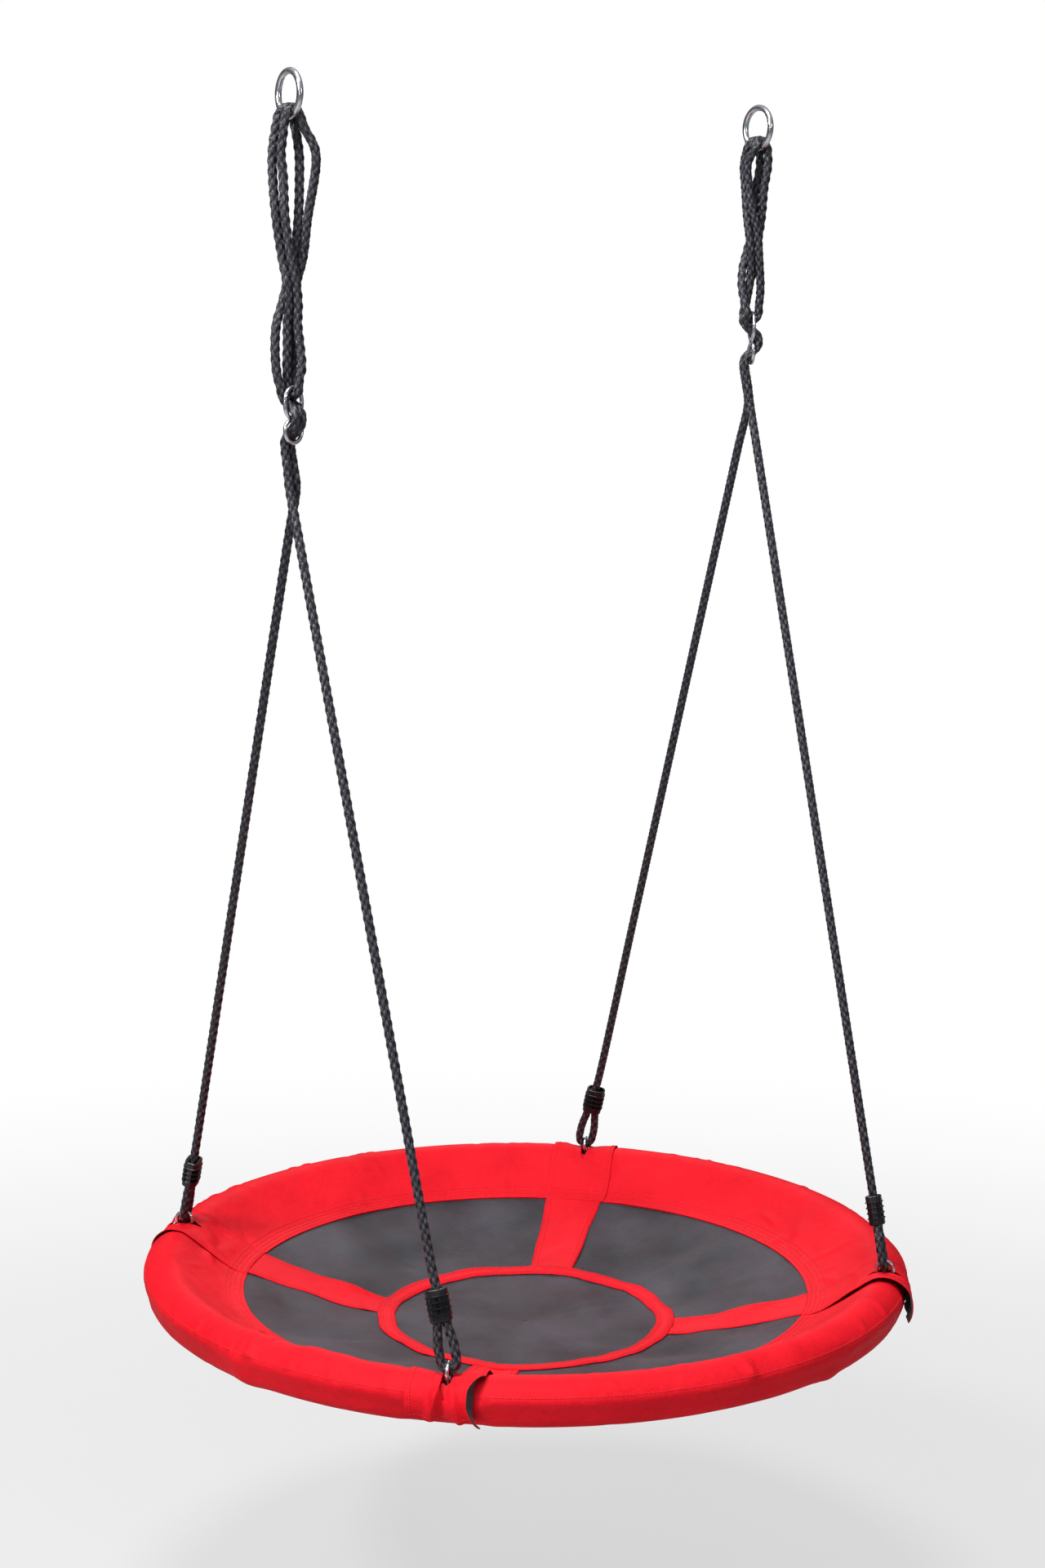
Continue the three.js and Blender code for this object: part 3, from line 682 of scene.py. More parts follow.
# ---- rope clips ----
def clip_half(name, eye, out):
    """Half of a rope clip: smooth bands at both ends, and windows between four ribs and a spine."""
    _, _, _, up, across, bottom = leg_frame(eye)
    normal = np.cross(up, across) * out
    half_w, half_d, wall, corner, split = 14.0, 11.0, 3.0, 3.0, 0.15
    band, rib, pane, spine, fillet_r = 7.6, 1.7, 5.3, 1.3, 1.8
    shape = bmesh.new()
    bmesh.ops.create_grid(shape, x_segments=64, y_segments=76, size=0.5)
    skin = shape.verts[:]
    grown = bmesh.ops.extrude_face_region(shape, geom=shape.faces[:], use_keep_orig=True)["geom"]
    lining = [v for v in grown if isinstance(v, bmesh.types.BMVert)]
    start = bottom + up * CLIP_LOW

    def settle_on(corners, inside):
        """Wraps the flat grid round the clip: its width becomes the half turn, its length the height."""
        share = np.array([v.co for v in corners]) + 0.5
        turn, height = math.pi * share[:, 0], CLIP_H * share[:, 1]
        nx, ny = np.cos(turn), np.sin(turn)
        x = half_w * np.sign(nx) * np.abs(nx) ** (2 / corner)
        y = split + (half_d - split) * np.abs(ny) ** (2 / corner)
        if inside:
            x = np.clip(x, -(half_w - wall), half_w - wall)
            y = np.interp(np.abs(x), [0, 7, 10.4, 11.0], [6.1, 6.1, 3.9, split])
        else:
            edge = np.minimum(height, CLIP_H - height)
            fillet = fillet_r - np.sqrt(np.maximum(0, fillet_r**2 - np.maximum(0, fillet_r - edge) ** 2))
            # between the bands: ribs that stand out, and windows between them on both sides of a spine
            level = (height - band) % (rib + pane)
            ribbed = (height > band) & (height < CLIP_H - band)
            window = np.where(ribbed, np.clip(np.minimum(level - rib, rib + pane - level) / 0.5, 0, 1), 0)
            beside = np.clip((np.abs(x) - spine) / 0.6, 0, 1) * np.clip((y - 3.6) / 1.2, 0, 1)
            sunk = 0.8 - 1.2 * ribbed * (1 - window) + 3.4 * window * beside + fillet
            x, y = x - nx * sunk, np.maximum(split, y - ny * sunk)
        for v, a, b, h in zip(corners, x, y, height):
            v.co = (start + across * a + normal * b + up * h) * MM

    settle_on(skin, False)
    settle_on(lining, True)
    bmesh.ops.recalc_face_normals(shape, faces=shape.faces)
    return finished(name, shape, PLASTIC, f"{EYES[eye][1]}_ropes", 40)


# ---- steel ----
def make_hanging_ring(side):
    shape = bmesh.new()
    add_ring(shape, np.array([SIDES[side]["x"], 0, RING_Z]), RING_R, RING_WIRE, (1, 0, 0), 120, 28)
    piece = metal_piece(f"steel_ring_{side}", shape, "hangers")
    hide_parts(f"hanging_ring_{side}")


def make_adjuster(side):
    """A wire bent into a figure of eight, pinched at its waist and welded there."""
    bow, wire, high, deep = 15, 2.5, 22.5, -13
    right = [[0, deep - bow]]
    for a in (60, 30, 0):
        right.append([bow * math.cos(math.radians(a)), deep - bow * math.sin(math.radians(a))])
    right += [[13.8, -7.4], [9.4, -3], [3.1, 0], [9.2, 4.2], [13.6, 10], [bow, 17.5]]
    for a in (0, 30, 60):
        right.append([bow * math.cos(math.radians(a)), high + bow * math.sin(math.radians(a))])
    outline = [*right, [0, high + bow], *([-w, h] for w, h in right[:0:-1])]
    line, _ = curve_through(in_adjuster(side, [[w, 0, h] for w, h in outline]), 1.2, closed=True)
    b = math.radians(SIDES[side]["turn"])
    points, faces = tube(line, 18, wire, (math.sin(b), -math.cos(b), 0), closed=True)
    shape = bmesh.new()
    corners = [shape.verts.new(tuple(p)) for p in points]
    for face in faces:
        shape.faces.new([corners[i] for i in face])
    at = in_adjuster(side, [[0, 0, 0]])[0]
    bead = [[0.9, 4.4], [1.8, 3.8], [3.1, 1.9]]
    weld = [[0, -4.7], *([r, -z] for r, z in bead), [3.5, 0], *bead[::-1], [0, 4.7]]
    add_turned(shape, [[r, at[2] + z] for r, z in weld], at)
    piece = metal_piece(f"adjuster_wire_{side}", shape, f"{side}_ropes")
    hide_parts(f"height_adjuster_{side}")


def make_eye_bolt(eye):
    """A closed eye over a collar, with its shank through the tube."""
    radial, tangent = eye_direction(EYES[eye][0])
    at = radial * RIM_R
    tip, top_of_tube, low = RIM_Z - 21, RIM_Z + TUBE_R + CLEAR, EYE_Z - EYE_R - EYE_WIRE
    shank = [[0, tip], [2.4, tip], [3, tip + 1]]
    collar = [[3, 0], [5.1, 0], [5.5, 0.5], [5.5, 2.7], [5.1, 3.1], [3.4, 3.3]]
    neck = [[3.3, -0.2], [4.2, 1.2], [4.3, 2.6], [3, 4], [0, 4]]
    profile = [*shank, *([r, top_of_tube + z] for r, z in collar), *([r, low + z] for r, z in neck)]
    shape = bmesh.new()
    add_turned(shape, profile, at)
    add_ring(shape, at + UP * EYE_Z, EYE_R, EYE_WIRE, tangent, 60)
    piece = metal_piece(f"steel_eye_{eye}", shape, "nest")
    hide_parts(f"eye_bolt_{eye}")


# ---- the padded rim ----
def rim_profile(step):
    """The cover's outline from the upper lip over the outside to the lower lip, with its normals."""
    lip = MESH / 2 + CLEAR + CLOTH
    upper = [[0, lip - 0.6], [2, lip + 0.4], [16, lip + 3], [50, lip + 22]]
    lower = [[50, -lip - 1.2], [16, -lip - 0.4], [0, -lip]]
    points = [[SEAM_R + ahead, SEAM_Z + above] for ahead, above in upper]
    for i in range(17):
        a = math.radians(124 - 216 * i / 16)
        points.append([RIM_R + COVER_R * math.cos(a), RIM_Z + COVER_R * math.sin(a)])
    points += [[SEAM_R + ahead, SEAM_Z + above] for ahead, above in lower]
    line, length = curve_through(points, step)
    along = directions(line)
    return line, np.stack([-along[:, 1], along[:, 0]], 1), np.linspace(0, length, len(line))


def eye_dip(radius, sideways, z):
    """How far the cloth is pressed down round an eye bolt."""
    top = np.clip((z - RIM_Z - 8) / 14, 0, 1)
    return 5.6 * np.exp(-((sideways / 19) ** 2) - ((radius - RIM_R) / 22) ** 2) * top


def eye_offset(theta, angle, radius):
    """Sideways distance from an eye's radial line, at an angle round the rim."""
    turn = (theta - math.radians(angle) + math.pi) % (2 * math.pi) - math.pi
    return np.where(np.abs(turn) < 1, radius * np.sin(turn), 1e3)


# length over the cover from its upper lip to the seam round the outside
SEAM_RUN = 149.0


def rim_displacement(theta, run, line):
    """Height of the cover's folds above its plain shape, in millimetres."""
    around = 2 * math.pi * RIM_R
    u = theta * RIM_R
    v = np.broadcast_to(run, u.shape)
    radius, z = line[:, 0][None], line[:, 1][None]
    upper = np.clip((105 - v) / 30, 0, 1) * np.clip(v / 10, 0, 1)
    # short drag lines, broad dents, and sharp crumples on the top
    folds = creases(u, v, 11, 200, 24, 6.5, 2.6, around, 0.9) * (0.35 + 0.65 * upper)
    folds += creases(u, v, 12, 46, 46, 24, 4.2, around, 1.3)
    folds += creases(u, v, 14, 22, 16, 9, 5.5, around, 1.3) * upper
    # puckers that run up from the seam; the first ones are deep, and gathered in one place
    draw = np.random.default_rng(17)
    above_seam = SEAM_RUN - v
    for i in range(84):
        deep = i < 14
        middle = draw.normal(math.radians(191) * RIM_R, 30) % around if deep else draw.uniform(0, around)
        off = (u - middle + around / 2) % around - around / 2 + draw.normal(0, 0.35) * above_seam
        reach, tall = draw.uniform(16, 52), draw.uniform(-3.5, 6) if deep else draw.uniform(-1.6, 3.0)
        rise = np.clip(above_seam / 5, 0, 1) * np.exp(-((above_seam / reach) ** 2))
        folds += tall * rise * np.exp(-((off / draw.uniform(3, 7)) ** 2))
    # small gathers along the stitching by the inner edge
    gathers = creases(u, np.minimum(v, 60), 13, 170, 16, 5, 1.6, around, 0.2)
    folds += gathers * np.exp(-(((v - 34) / 16) ** 2))
    near = np.ones_like(u)
    dip = np.zeros_like(u)
    for angle, _ in EYES.values():
        side = eye_offset(theta, angle, radius)
        near = np.minimum(near, np.clip((np.abs(side) - 40) / 16, 0.06, 1))
        dip += eye_dip(radius, side, z)
    ridge = 2.8 * np.exp(-np.abs(above_seam) / 5) - 2.8 * np.exp(-(((above_seam + 16) / 10) ** 2))
    groove = 0.9 * np.exp(-((above_seam / 1.4) ** 2))
    padding = 0.9 + 0.6 * np.exp(-(((v - 62) / 24) ** 2))
    beside_seam = 1 - 0.5 * np.exp(-((above_seam / 5) ** 2))
    shape = np.clip(folds * beside_seam + padding, -2.2, 5.5) + ridge
    # the foam lies 2 mm below
    return np.maximum(near * shape - groove, -2.0) - dip - 0.5 * (1 - near)


def make_rim_cover():
    """The sleeve of cloth: its outer side with all the folds, and a plain inner side, open at the eyes."""
    count, step, thinned = 756, 3.0, 4
    line, out, run = rim_profile(step)
    theta = 2 * math.pi * np.arange(count) / count
    lift = rim_displacement(np.repeat(theta[:, None], len(run), 1), run, line)
    radius = line[:, 0][None] + out[:, 0][None] * lift
    z = line[:, 1][None] + out[:, 1][None] * lift
    outer = np.stack([radius * np.cos(theta)[:, None], radius * np.sin(theta)[:, None], z], 2)
    sparse = [*range(len(run) - 1, 0, -thinned), 0]
    inside = line[sparse] - out[sparse] * (CLOTH + 1.2)
    inner_r = np.broadcast_to(inside[:, 0], (count, len(sparse)))
    inner_z = np.broadcast_to(inside[:, 1], (count, len(sparse)))
    inner_z = inner_z - sum(
        eye_dip(inner_r, eye_offset(theta[:, None], angle, inner_r), inner_z) for angle, _ in EYES.values()
    )
    inner = np.stack([inner_r * np.cos(theta)[:, None], inner_r * np.sin(theta)[:, None], inner_z], 2)
    columns = len(run) + len(sparse)
    points = np.concatenate([outer, inner], 1).reshape(-1, 3)
    faces = grid_faces(count, columns, True, True)
    centres = points[faces].mean(1)
    keep = np.ones(len(faces), bool)
    for angle, _ in EYES.values():
        radial, tangent = eye_direction(angle)
        far, side = centres @ radial - RIM_R, centres @ tangent
        keep &= ~(((far / 15) ** 2 + (side / 8) ** 2 < 1) & (centres[:, 2] > RIM_Z + TUBE_R))
    along = np.repeat(theta * RIM_R, columns)
    over = np.tile(np.concatenate([run, run[sparse]]), count)
    piece = make_mesh("padded_rim_cover", points, faces[keep], [RED],
                      uvs=np.stack([along, over], 1))
    tidy_normals(piece)
    piece.data.set_sharp_from_angle(angle=math.radians(38))
    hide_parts("rim_cover")
    return outer, run, theta


def rim_stitches(outer, run, theta):
    """Parallel rows by the inner edge, and one above the seam round the outside."""
    rows = []
    for wanted in (5.5, 12.5, 19.5, 26.5, SEAM_RUN - 4):
        k = int(np.argmin(np.abs(run - wanted)))
        part = (wanted - run[k]) / (run[1] - run[0])
        line = outer[:, k] + (outer[:, min(k + 1, len(run) - 1)] - outer[:, k]) * part
        next_ring = outer[:, k + 1] - outer[:, k - 1]
        along = np.roll(line, -1, 0) - np.roll(line, 1, 0)
        up = np.cross(next_ring, along)
        up /= np.linalg.norm(up, axis=1, keepdims=True)
        clear = np.ones(len(theta), bool)
        for angle, _ in EYES.values():
            side = eye_offset(theta, angle, np.linalg.norm(line[:, :2], axis=1))
            clear &= np.abs(side) > FLAP_HALF + 2
        start = int(np.argmin(clear))
        order = np.roll(np.arange(len(theta)), -start)
        group = []
        for i in [*order, order[0]]:
            if clear[i]:
                group.append(i)
            elif group:
                rows.append((line[group], up[group]))
                group = []
        if group:
            rows.append((line[group], up[group]))
    stitches("rim_stitching", rows)


# ---- flaps over the eye bolts ----
FLAP_LONG = 176
CURL_R, CURL_TURN = 2.6, math.radians(128)
FLAPS = {
    # slit: centre beyond the eye, half length, half width; lift of the two side edges, and where across the
    # flap that lift begins; hang of the end; size of the scattered folds, and of the tent-shaped fold beside
    # the slit's outer end; how much of the second side edge is turned back
    "front": {"slit": (6, 32, 6.0), "edges": (2.0, 4.5), "from": 30, "hang": 1.0,
              "fold": 3.4, "seed": 21, "tent": 7.5, "curl": 14},
    "left": {"slit": (4, 30, 5.5), "edges": (4.5, 3.0), "from": 30, "hang": 3.0,
             "fold": 1.8, "seed": 22, "tent": 0.0, "curl": 0},
    "right": {"slit": (6, 30, 5.0), "edges": (10.0, 0.0), "from": -20, "hang": 0.5,
              "fold": 1.6, "seed": 23, "tent": 1.5, "curl": 0},
    "back": {"slit": (3, 30, 5.0), "edges": (2.0, 2.0), "from": 30, "hang": 1.5,
             "fold": 1.2, "seed": 24, "tent": 1.0, "curl": 0},
}


def flap_lift(setup, t, v, slit, eye_run):
    """How far a flap stands off the rim, by the distance across it and the length over the rim."""
    ahead, half_long, half_wide = setup["slit"]
    loose = np.clip((v - 30) / 30, 0, 1)
    past_eye = v - eye_run
    lift = 2.0 + creases(t, v, setup["seed"], 34, 34, 7, setup["fold"], slant=0.9).clip(-0.8, 5) * loose
    for sign, tall in zip((-1, 1), setup["edges"]):
        near_edge = np.clip((sign * t - setup["from"]) / (FLAP_HALF - setup["from"]), 0, 1) ** 2
        lift = lift + tall * near_edge * loose * np.clip(0.35 + (past_eye + 10) / 60, 0.3, 1.1)
    by_slit = np.exp(-(((np.abs(t) - slit[:, None]) / 4.5) ** 2)) * (slit[:, None] > 0.2)
    lift = lift + 2.6 * by_slit * np.clip(slit / half_wide, 0, 1)[:, None]
    # two folds that spread from the eye
    spread = np.abs(np.abs(t) - 0.32 * np.clip(past_eye, 0, 90))
    lift = lift + 0.9 * setup["fold"] * np.exp(-((spread / 5) ** 2)) * np.clip((past_eye - 14) / 18, 0, 1)
    # the tent-shaped fold, with a hollow beside it
    beyond = past_eye - ahead - half_long
    off = -t - 9 - 0.2 * beyond
    tent = setup["tent"] * (np.exp(-((off / 4.5) ** 2)) - 0.5 * np.exp(-(((off + 10) / 6) ** 2)))
    lift = lift + tent * np.clip((beyond + 20) / 14, 0, 1) * np.clip((34 - beyond) / 24, 0, 1)
    lift = lift + setup["hang"] * np.clip((v - 120) / 56, 0, 1) ** 1.6
    return lift - 1.2 * np.clip(1 - v / 26, 0, 1)


def turned_back(setup, t, v, eye_run):
    """Bends a flap's second side edge outwards and back: its new distance across, and the added height."""
    back = np.clip(t - FLAP_HALF + setup["curl"], 0, None) * (setup["curl"] > 0)
    turn = CURL_TURN * np.clip((v - eye_run - 8) / 22, 0, 1) * np.clip((FLAP_LONG + 2 - v) / 24, 0.15, 1)
    bent = np.minimum(back / CURL_R, turn)
    straight = back - CURL_R * bent
    across = t - back + CURL_R * np.sin(bent) + straight * np.cos(bent)
    return across, CURL_R * (1 - np.cos(bent)) + straight * np.sin(bent)


def make_flap(eye):
    """A cloth flap sewn at the rim's inner edge, slit for the eye bolt and fastened underneath."""
    setup = FLAPS[eye]
    radial, tangent = eye_direction(EYES[eye][0])
    line, out, run = rim_profile(2.2)
    last = int(np.argmax(run > FLAP_LONG))
    line, out, run = line[:last], out[:last], run[:last]
    eye_run = run[np.argmin(np.hypot(line[:, 0] - RIM_R, line[:, 1] - RIM_Z - COVER_R))]
    ahead, half_long, half_wide = setup["slit"]
    where = (run - eye_run - ahead) / half_long
    slit = half_wide * np.sqrt(np.clip(1 - where**2, 0, 1)) ** 1.3
    columns = 24
    share = np.linspace(0, 1, columns)
    draw = np.random.default_rng(setup["seed"])
    waver = 1.2 * np.sin(run / draw.uniform(14, 22) + draw.uniform(0, 6))
    sides = []
    for sign, wavering in ((-1, -0.8), (1, 1)):
        width = FLAP_HALF + waver * wavering
        sides.append(sign * (slit[:, None] + (width - slit)[:, None] * share[None]))
    t = np.concatenate([sides[0][:, ::-1], sides[1]], 1)
    v = np.broadcast_to(run[:, None], t.shape)
    uvs = np.stack([t.ravel(), v.ravel()], 1)
    r0, z0 = line[:, 0][:, None], line[:, 1][:, None]
    lift = flap_lift(setup, t, v, slit, eye_run) - eye_dip(r0, t, z0)
    t, higher = turned_back(setup, t, v, eye_run)
    lift = lift + higher
    radius = r0 + out[:, 0][:, None] * lift
    z = z0 + out[:, 1][:, None] * lift
    forward = np.sqrt(np.maximum(radius**2 - t**2, 1))
    points = radial * forward[..., None] + tangent * t[..., None] + UP * z[..., None]
    rows, wide = t.shape
    faces = grid_faces(rows, wide)
    # the two halves meet only where their points do, so the slit stays open
    between = (faces[:, 0] % wide) == columns - 1
    piece = make_mesh(f"rim_flap_cloth_{eye}", points.reshape(-1, 3), faces[~between], [RED, LINING],
                      uvs=uvs)
    tidy_normals(piece, weld=2e-5)
    middle = Vector(tuple((radial * RIM_R + UP * RIM_Z) * MM))
    if sum(face.normal.dot(face.center - middle) for face in piece.data.polygons) < 0:
        piece.data.flip_normals()
    solid = piece.modifiers.new("cloth", "SOLIDIFY")
    solid.thickness, solid.offset, solid.material_offset = 1.1 * MM, -1, 1
    settle(piece)
    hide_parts(f"rim_flap_{eye}")
    ups = grid_normals(points)
    if (ups[rows // 3, wide // 4] @ UP) < 0:
        ups = -ups
    stitch_lines = []
    for wanted in (4, 11, 18, 25):
        k = int(np.argmin(np.abs(run - wanted)))
        stitch_lines.append((points[k, 2:-2], ups[k, 2:-2]))
    for j in (3, wide - 4):
        stitch_lines.append((points[2:, j], ups[2:, j]))
    stitch_lines.append((points[-3, 3:-3], ups[-3, 3:-3]))
    return stitch_lines


# ---- the seat ----
DISH = [[-95, 2.4], [0, 1], [95, 2.4], [BAND_R, 9], [285, 28], [360, 50], [SEAM_R, SEAM_Z], [400, SEAM_Z]]
DISH_LINE, _ = curve_through(DISH, 2.0)
SEAT_R = SEAM_R + 14


def seat_height(x, y):
    """Middle of the mesh panel: the dish it hangs in, with soft waves between the straps."""
    r = np.hypot(x, y)
    base = np.interp(r, DISH_LINE[:, 0], DISH_LINE[:, 1])
    draw = np.random.default_rng(5)
    waves = np.zeros_like(r)
    for _ in range(9):
        a, length, phase = draw.uniform(0, math.pi), draw.uniform(60, 150), draw.uniform(0, 6.3)
        along = (x * math.cos(a) + y * math.sin(a)) / length
        waves += draw.uniform(0.5, 1.2) * np.sin(along * 2 * math.pi + phase)
    around = np.arctan2(y, x)
    between = 0.5 - 0.5 * np.cos(4 * (around - math.pi / 4))
    radial = 2.2 * np.sin(around * 22 + 2 * np.sin(around * 3)) * between
    halfway = 290
    dents = creases(around * halfway, r, 61, 44, 52, 11, 4.2, 2 * math.pi * halfway, 0.9).clip(-4, 4)
    # the cloth lies still at the middle, under the binding and by the rim
    hold = np.clip((r - 40) / 120, 0, 1) * np.clip((SEAM_R - 6 - r) / 50, 0, 1)
    hold = hold * (0.35 + 0.65 * np.clip(np.abs(r - BAND_R + BAND_W / 2) / 60, 0, 1))
    outside = np.clip((r - BAND_R) / 60, 0.25, 1)
    return base + hold * (waves * 1.1 + (radial + dents * between) * outside) + 0.6


def make_mesh_panel():
    """The round seat, dished and stretched between the rim's seams."""
    rings = np.concatenate([[0.01], np.linspace(8, SEAT_R, 66)])
    count = 240
    theta = 2 * math.pi * np.arange(count) / count
    x, y = rings[:, None] * np.cos(theta), rings[:, None] * np.sin(theta)
    z = seat_height(x, y)
    points = np.stack([x, y, z], 2).reshape(-1, 3)
    faces = grid_faces(len(rings), count, False, True)
    piece = make_mesh("woven_mesh_seat", points, faces, [NET], uvs=points[:, :2])
    tidy_normals(piece)
    solid = piece.modifiers.new("cloth", "SOLIDIFY")
    solid.thickness, solid.offset = 0.8 * MM, 0
    settle(piece)
    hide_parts("mesh_panel")


def grid_normals(points):
    normals = np.cross(np.gradient(points, axis=0), np.gradient(points, axis=1))
    return normals / np.linalg.norm(normals, axis=2, keepdims=True)


def grid_ups(points):
    ups = grid_normals(points)
    return np.where(ups[..., 2:] < 0, -ups, ups)


def laid_cloth(name, points, uvs, thickness, nodes, wrap=False):
    """A strip of cloth lying on the seat, from its grid of points."""
    rows, columns = points.shape[:2]
    piece = make_mesh(name, points.reshape(-1, 3), grid_faces(rows, columns, wrap), [RED],
                      uvs=uvs)
    tidy_normals(piece)
    if sum(p.normal.z for p in piece.data.polygons) < 0:
        piece.data.flip_normals()
    solid = piece.modifiers.new("cloth", "SOLIDIFY")
    solid.thickness, solid.offset = thickness * MM, -1
    settle(piece)
    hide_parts(*nodes)
    return piece


def make_strap(eye):
    """A strap from under the rim to under the centre binding, wider at the rim."""
    radial, tangent = eye_direction(EYES[eye][0])
    rows, columns, tucked = 60, 26, 9
    start, end = BAND_R - tucked, SEAM_R + tucked
    far = np.linspace(start, end, rows)
    half = (54 + (far - 150) * 32 / 280) / 2
    share = np.linspace(-1, 1, columns)
    draw = np.random.default_rng(31 + len(eye))
    half = half + 0.7 * np.sin(far / draw.uniform(18, 26) + draw.uniform(0, 6))
    t = half[:, None] * share[None]
    f = np.broadcast_to(far[:, None], t.shape)
    flat = radial * f[..., None] + tangent * t[..., None]
    edge = 1 - np.clip((np.abs(share) - 0.84) / 0.16, 0, 1) ** 2
    lift = 1.5 + 0.5 * edge[None] + creases(t, f, 40 + len(eye), 16, 40, 7, 1.2).clip(-0.2, 2)
    under = np.clip((BAND_R - f) / 4, 0, 1) + np.clip((f - SEAM_R + 3) / 4, 0, 1)
    z = seat_height(flat[..., 0], flat[..., 1]) + lift * (1 - under) + 1.5 * under
    points = np.concatenate([flat[..., :2], z[..., None]], 2)
    piece = laid_cloth(f"strap_cloth_{eye}", points, np.stack([t.ravel(), f.ravel()], 1), 0.9,
                       [f"seat_strap_{eye}"])
    ups = grid_ups(points)
    lines = []
    for inset in (3.0, 8.0):
        for sign in (-1, 1):
            at = np.stack([
                [np.interp(sign * (h - inset), row_t, row_p[:, k]) for k in range(3)]
                for h, row_t, row_p in zip(half, t, points)
            ])
            lines.append((at[4:-4], ups[4:-4, columns // 2]))
    return lines


def make_binding():
    """The folded band round the seat's middle, slightly squared towards the straps."""
    count, columns = 420, 16
    theta = 2 * math.pi * np.arange(count) / count
    share = np.linspace(0, 1, columns)
    corner = 1 + 0.011 * np.cos(4 * (theta - math.pi / 4))
    wobble = 0.6 * np.sin(theta * 9 + 1) + 0.4 * np.sin(theta * 23)
    inner = (BAND_R - BAND_W) * corner + wobble
    width = BAND_W + 0.8 * np.sin(theta * 13 + 2)
    r = inner[:, None] + width[:, None] * share[None]
    x, y = r * np.cos(theta)[:, None], r * np.sin(theta)[:, None]
    bulge = 1 - np.abs(2 * share - 1) ** 4
    on_strap = np.exp(-(((np.cos(2 * theta) * BAND_R / 2) / 27) ** 4))[:, None]
    on_strap = on_strap * np.clip(share * 3 - 1, 0, 1)
    puckers = creases(theta[:, None] * BAND_R + 0 * r, r, 51, 120, 9, 3, 0.8, 2 * math.pi * BAND_R, 0.4)
    lift = 1.9 + 1.2 * bulge[None] + 1.3 * on_strap + puckers.clip(-0.2, 1.2)
    points = np.stack([x, y, seat_height(x, y) + lift], 2)
    along = np.repeat(theta * BAND_R, columns)
    piece = laid_cloth("centre_binding_cloth", points, np.stack([along, r.ravel()], 1), 1.1,
                       ["centre_binding"], wrap=True)
    ups = grid_ups(points)
    return [(points[:, k], ups[:, k]) for k in (2, 4, columns - 5, columns - 3)]


# ---- lights and floor ----
def area_light(name, place_at, target, size, power):
    data = bpy.data.lights.new(name, "AREA")
    data.shape, data.size, data.energy = "DISK", size, power
    lamp = bpy.data.objects.new(name, data)
    bpy.context.collection.objects.link(lamp)
    lamp.location = place_at
    lamp.rotation_mode = "QUATERNION"
    lamp.rotation_quaternion = (Vector(target) - Vector(place_at)).to_track_quat("-Z", "Y")


def make_sky():
    """Dim below and brighter above for the swing's reflections, and plain white to the eye."""
    world = bpy.data.worlds.new("pale_studio")
    world.use_nodes = True
    tree = world.node_tree
    seen = node(tree, "ShaderNodeLightPath").outputs["Is Camera Ray"]
    outwards = node(tree, "ShaderNodeTexCoord").outputs["Generated"]
    up = node(tree, "ShaderNodeSeparateXYZ", {"Vector": outwards})
    sky = tint(tree, span(tree, up.outputs["Z"], 0.1, 0.9), (0.05, 0.05, 0.055), (0.46, 0.46, 0.48))
    shown = node(tree, "ShaderNodeMix", {"Factor": seen, 6: sky, 7: (1, 1, 1, 1)}, data_type="RGBA")
    tree.links.new(shown.outputs[2], tree.nodes["Background"].inputs["Color"])
    bpy.context.scene.world = world


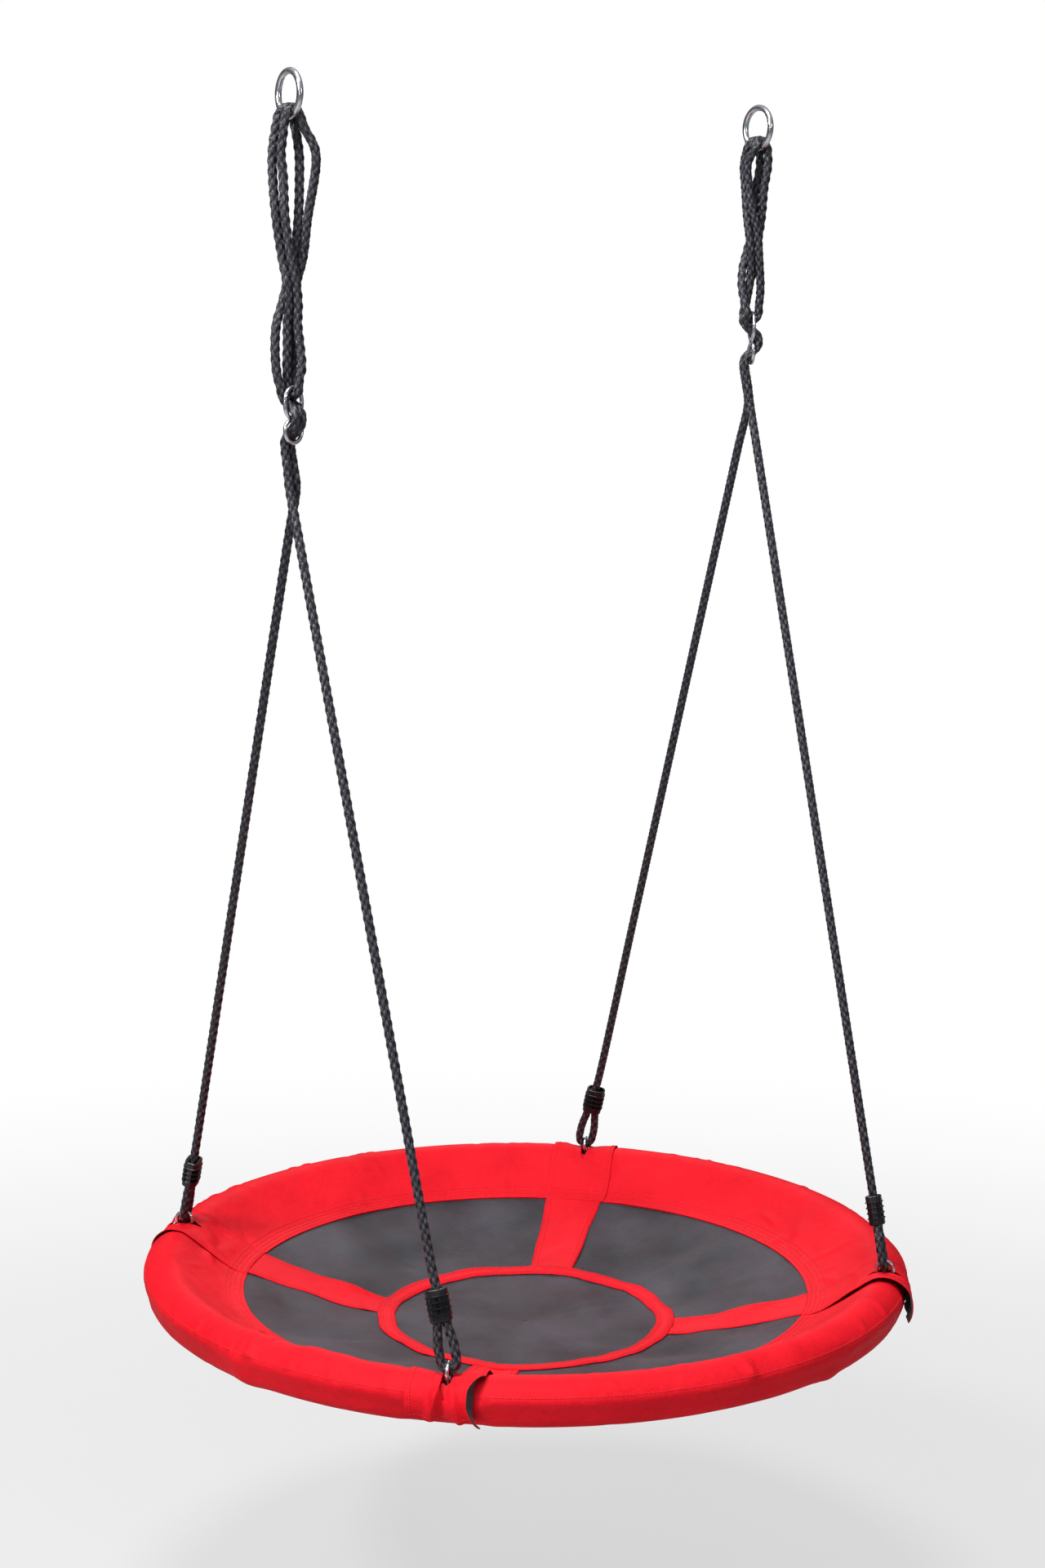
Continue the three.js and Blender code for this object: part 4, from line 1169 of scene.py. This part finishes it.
def make_floor():
    """A wide matt floor below the swing. Far away it fades to the white of the background."""
    half, depth = 60, 0.45
    shape = bmesh.new()
    bmesh.ops.create_grid(shape, x_segments=1, y_segments=1, size=half)
    bmesh.ops.translate(shape, vec=(0, 0, -depth), verts=shape.verts)
    data = bpy.data.meshes.new("floor")
    shape.to_mesh(data)
    shape.free()
    floor = bpy.data.objects.new("floor", data)
    bpy.context.collection.objects.link(floor)
    material, tree, skin = new_material("pale_floor")
    plug(tree, skin, {
        "Base Color": tint(tree, noise(tree, place(tree), 3.0), (0.48, 0.48, 0.485), (0.52, 0.52, 0.525)),
        "Roughness": 0.9,
    })
    away = node(tree, "ShaderNodeVectorMath", {0: place(tree)}, operation="LENGTH").outputs["Value"]
    looked_at = node(tree, "ShaderNodeLightPath").outputs["Is Camera Ray"]
    fade = node(
        tree, "ShaderNodeMapRange", {"Value": away, "From Min": 0.9, "From Max": 3.2, "To Min": 0.6},
        interpolation_type="SMOOTHSTEP",
    ).outputs["Result"]
    white = node(tree, "ShaderNodeEmission", {"Color": (1, 1, 1, 1)})
    mix = node(tree, "ShaderNodeMixShader", {
        0: maths(tree, "MULTIPLY", fade, looked_at), 1: skin.outputs[0], 2: white.outputs[0],
    })
    tree.links.new(mix.outputs[0], tree.nodes["Material Output"].inputs["Surface"])
    data.materials.append(material)


def make_studio():
    bpy.context.scene.view_settings.view_transform = "Standard"
    make_sky()
    area_light("top_light", (-0.7, -0.5, 3.2), (0, 0, 0), 0.9, 70)
    area_light("key_light", (-2.6, -0.6, 2.6), (0, 0, 0), 0.5, 74)
    area_light("back_light", (1.7, 2.7, 1.5), (0, 0, 0.1), 0.7, 13)
    area_light("left_glint", (-3.3, -2.3, 1.7), (0, 0, 0.3), 0.35, 22)
    area_light("right_glint", (0.9, -3.6, 2.1), (0, 0, 0.3), 0.35, 18)
    make_floor()


# ---- making ----
make_camera()
RED, THREAD, NET, ROPE = woven_red(), red_thread(), mesh_cloth(), rope_fibre()
PLASTIC, STEEL, TUBE, LINING, FOAM = (
    moulded_plastic(), plated_steel(), bare_steel(), looped_tape(), closed_foam()
)
make_rope("left", "front", "left")
make_rope("right", "right", "back")

CAD_LOOKS = {
    "frame_tube": TUBE, "foam_sleeve": FOAM, "eye_washer": STEEL, "eye_nut": STEEL, "flap_tape": LINING,
}
for name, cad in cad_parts.items():
    for start, material in CAD_LOOKS.items():
        if name.startswith(start):
            cad.material_slots[0].material = material

for side in SIDES:
    make_hanging_ring(side)
    make_adjuster(side)
for eye in EYES:
    for word, out in (("outer", 1), ("inner", -1)):
        piece = clip_half(f"clip_shell_{word}_{eye}", eye, out)
        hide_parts(f"rope_clip_{word}_{eye}")
    make_eye_bolt(eye)

rim_stitches(*make_rim_cover())
make_mesh_panel()
flap_rows, seat_rows = [], []
for eye in EYES:
    flap_rows += make_flap(eye)
    seat_rows += make_strap(eye)
seat_rows += make_binding()
stitches("flap_stitching", flap_rows, pitch=3.6, length=2.6)
stitches("seat_stitching", seat_rows, pitch=3.8, length=2.7)
make_studio()
